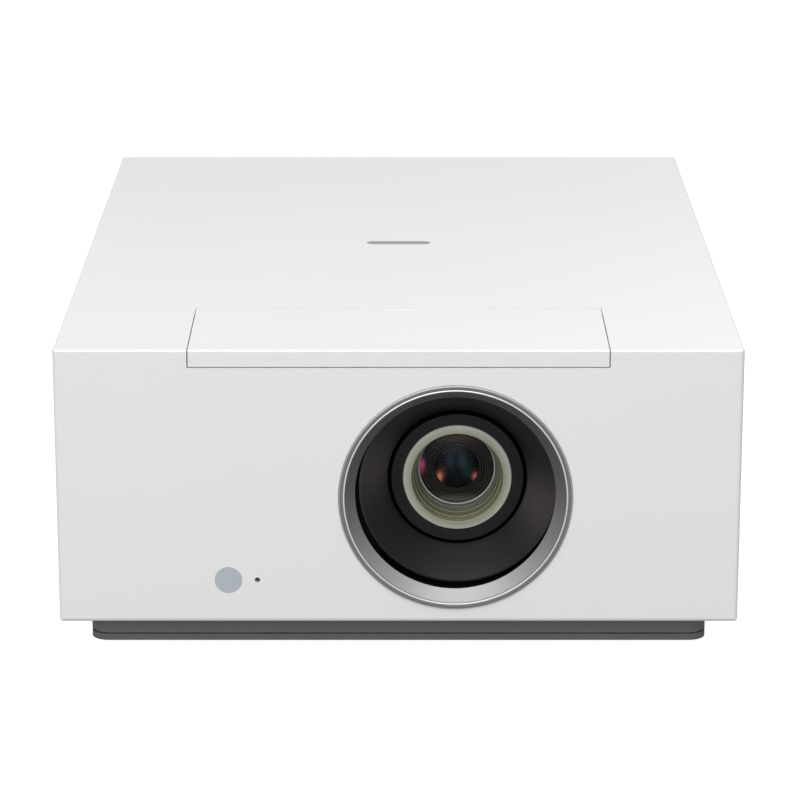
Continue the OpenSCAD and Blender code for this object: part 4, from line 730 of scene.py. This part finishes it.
def buildFrontGlassFinish():
    # coated glass that lets nearly everything through and gives back a faint blue
    setting = frontGlass
    material, tree, shader = newMaterial("coatedGlass")
    grain = useGroup(tree, mouldedGrain, {"Grain Size": setting["grainSize"]}, {"Point": objectPoint(tree)})
    tint = addMix(tree, grain.outputs["Drift"], scaled(setting["color"], setting["deeper"]), setting["color"])
    tree.links.new(tint, shader.inputs["Base Color"])
    shader.inputs["Metallic"].default_value = 1.0
    shader.inputs["Roughness"].default_value = setting["roughness"]
    shader.inputs["Alpha"].default_value = setting["alpha"]
    return material


innerGlass = {"radius": 10.6, "rim": -156.6, "curve": 26.0, "thickness": 1.5}

# half sections, each point the radius and the depth in millimetres
outlines = {
    "lensCell": [
        (25.15, -172.6), (24.85, -173.05), (24.5, -173.2), (22.4, -173.35), (21.5, -173.7), (21.15, -173.55),
        (20.95, -172.9), (20.35, -169.4), (19.95, -169.2), (19.3, -165.6), (19.05, -165.5), (18.9, -165.0),
        (18.3, -161.6), (18.1, -161.4), (17.95, -157.0), (20.2, -156.0), (25.15, -154.0)],
    "innerRings": [
        (17.95, -156.7), (17.95, -155.2), (10.2, -154.2), (10.2, -157.2), (10.9, -157.7), (11.7, -157.3),
        (12.0, -156.3), (13.4, -156.0), (13.6, -156.3), (15.0, -156.2), (15.2, -156.6), (16.9, -156.9),
        (17.35, -157.5), (17.75, -157.4), (17.85, -156.8)],
    "retainingRing": [(17.35, -157.55), (17.55, -157.85), (17.8, -157.8), (17.9, -157.3), (17.6, -157.1)],
    # flat ring of painted shade in the gap behind the shroud throat
    "gapShadeRing": [(30.55, -172.0), (32.15, -172.0), (32.15, -171.0), (30.55, -171.0)],
}
bezelRing = {
    "outer": [(52.55, 0.0), (52.85, 0.12), (53.0, 0.45), (53.0, 7.8), (45.6, 7.8), (45.6, 7.45), (45.75, 7.2),
              (50.15, 0.62), (50.3, 0.3)],
    "crest": {"radius": 50.65, "behind": 0.2, "reach": 0.32, "rise": 0.2, "steps": 8},
    "inner": [(51.0, 0.3), (51.15, 0.12), (51.35, 0.06)],
    "steps": 256,
}


def bezelOutline():
    # the flat rim, the long cone inside it and the small round crest between them
    face = bezelLow.y / mm
    crest = bezelRing["crest"]
    bend = [math.pi * turn / crest["steps"] for turn in range(1, crest["steps"])]
    outline = [(radius, face + behind) for radius, behind in bezelRing["outer"]]
    outline += [(crest["radius"] - crest["reach"] * math.cos(angle),
                 face + crest["behind"] - crest["rise"] * math.sin(angle)) for angle in bend]
    return outline + [(radius, face + behind) for radius, behind in bezelRing["inner"]]


def buildLens():
    # the parts of the lens that show, riding with the group that they belong to
    cell = turnedPiece("lensCell", outlines["lensCell"], buildCellFinish(), "focus_group")
    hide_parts("front_lens_cell")
    ringsWithGlints = buildCoatedWithGlints("innerRingsAndGlints", innerRingsAndGlints, True)
    plate = turnedPiece("innerRings", outlines["innerRings"], ringsWithGlints, "focus_group")
    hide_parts("front_baffle")
    pupilWithGlints = buildCoatedWithGlints("pupilAndGlints", pupilAndGlints, False)
    pupil = turnedPiece("innerGlass", domeOutline(**innerGlass), pupilWithGlints, "focus_group")
    # the near white retaining ring is a painted highlight, standing for the bright arc of a bevel that catches
    # the light
    arc = turnedPiece("retainingRing", outlines["retainingRing"], finishes["retainerHighlight"], "focus_group")
    coatedGlass = buildFrontGlassFinish()
    glass = turnedPiece("frontGlass", domeOutline(**frontGlass["bowl"]), coatedGlass, "focus_group")
    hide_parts("front_element")
    # a flat black ring in the gap between the shroud throat and the barrel, painted shade that darkens the gap
    gapShade = turnedPiece("gapShadeRing", outlines["gapShadeRing"], finishes["shadeBlack"], "vertical_carriage")
    silver = finishes["bezelSilverAndHighlights"]
    bezel = turnedPiece("bezelRing", bezelOutline(), silver, "root", bezelRing["steps"], openingX)
    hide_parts("lens_bezel")


buildLens()
print("stage: lens built")

# studio

studio = {
    "cameraX": 0.00066, "cameraAhead": 1.4725, "cameraAbove": 0.40574, "aimBelowTop": 0.0232, "lens": 153.8,
    "clipEnd": 20, "floorColor": (0.36, 0.36, 0.36), "floorGlow": 0.95, "floorHeight": -0.0003,
    "floorReach": 6.0, "floorRoughness": 0.9,
    "worldColor": (1.0, 1.0, 1.0), "worldStrength": 0.42, "backdrop": 1.0,
    "lights": {
        "topSoftbox": {
            "place": (-0.15, -0.75, 1.75), "aim": (0, -0.05, 0.1), "size": (2.2, 1.7), "power": 27.0},
        "frontSoftbox": {
            "place": (-0.5, -2.7, 1.25), "aim": (0, -0.2, 0.08), "size": (2.6, 1.2), "power": 31.0},
        "rearSoftbox": {
            "place": (0.9, 1.7, 1.3), "aim": (0, 0.1, 0.08), "size": (1.6, 1.0), "power": 5.5},
    },
}


def buildFloor():
    # pale floor that glows to the camera only, so the ground stays plain
    mesh = bpy.data.meshes.new("studioFloor")
    work = bmesh.new()
    reach = studio["floorReach"]
    corners = [work.verts.new((x * reach, y * reach, studio["floorHeight"]))
               for x, y in ((-1, -1), (1, -1), (1, 1), (-1, 1))]
    work.faces.new(corners)
    work.to_mesh(mesh)
    work.free()
    floor = bpy.data.objects.new("studioFloor", mesh)
    bpy.context.scene.collection.objects.link(floor)
    material, tree, shader = newMaterial("paleFloor")
    shader.inputs["Base Color"].default_value = (*studio["floorColor"], 1)
    shader.inputs["Roughness"].default_value = studio["floorRoughness"]
    shader.inputs["Specular IOR Level"].default_value = 0.0
    shader.inputs["Emission Color"].default_value = (1, 1, 1, 1)
    seen = tree.nodes.new("ShaderNodeLightPath")
    glow = addMath(tree, "MULTIPLY", seen.outputs["Is Camera Ray"], studio["floorGlow"])
    tree.links.new(glow, shader.inputs["Emission Strength"])
    mesh.materials.append(material)


def buildLight(name, place, aim, size, power):
    light = bpy.data.lights.new(name, "AREA")
    light.shape = "RECTANGLE"
    light.size, light.size_y = size
    light.energy = power
    lamp = bpy.data.objects.new(name, light)
    lamp.location = place
    lamp.rotation_euler = (Vector(aim) - Vector(place)).to_track_quat("-Z", "Y").to_euler()
    bpy.context.scene.collection.objects.link(lamp)


def buildStudio():
    buildFloor()
    world = bpy.data.worlds.new("studioWorld")
    world.use_nodes = True
    background = world.node_tree.nodes["Background"]
    background.inputs["Color"].default_value = (*studio["worldColor"], 1)
    seen = world.node_tree.nodes.new("ShaderNodeLightPath")
    strength = addMath(world.node_tree, "MULTIPLY_ADD", seen.outputs["Is Camera Ray"],
                       studio["backdrop"] - studio["worldStrength"], studio["worldStrength"])
    world.node_tree.links.new(strength, background.inputs["Strength"])
    bpy.context.scene.world = world
    for name, setting in studio["lights"].items():
        buildLight(name, setting["place"], setting["aim"], setting["size"], setting["power"])
    bpy.context.scene.view_settings.view_transform = "Standard"


def buildCamera():
    camera = bpy.data.cameras.new("studioCamera")
    camera.lens = studio["lens"]
    camera.clip_end = studio["clipEnd"]
    rig = bpy.data.objects.new("studioCamera", camera)
    place = Vector((studio["cameraX"], frontY - studio["cameraAhead"], topZ + studio["cameraAbove"]))
    aim = Vector((studio["cameraX"], frontY, topZ - studio["aimBelowTop"]))
    rig.location = place
    rig.rotation_euler = (aim - place).to_track_quat("-Z", "Y").to_euler()
    bpy.context.scene.collection.objects.link(rig)
    bpy.context.scene.camera = rig


buildStudio()
buildCamera()
print("stage: studio ready")
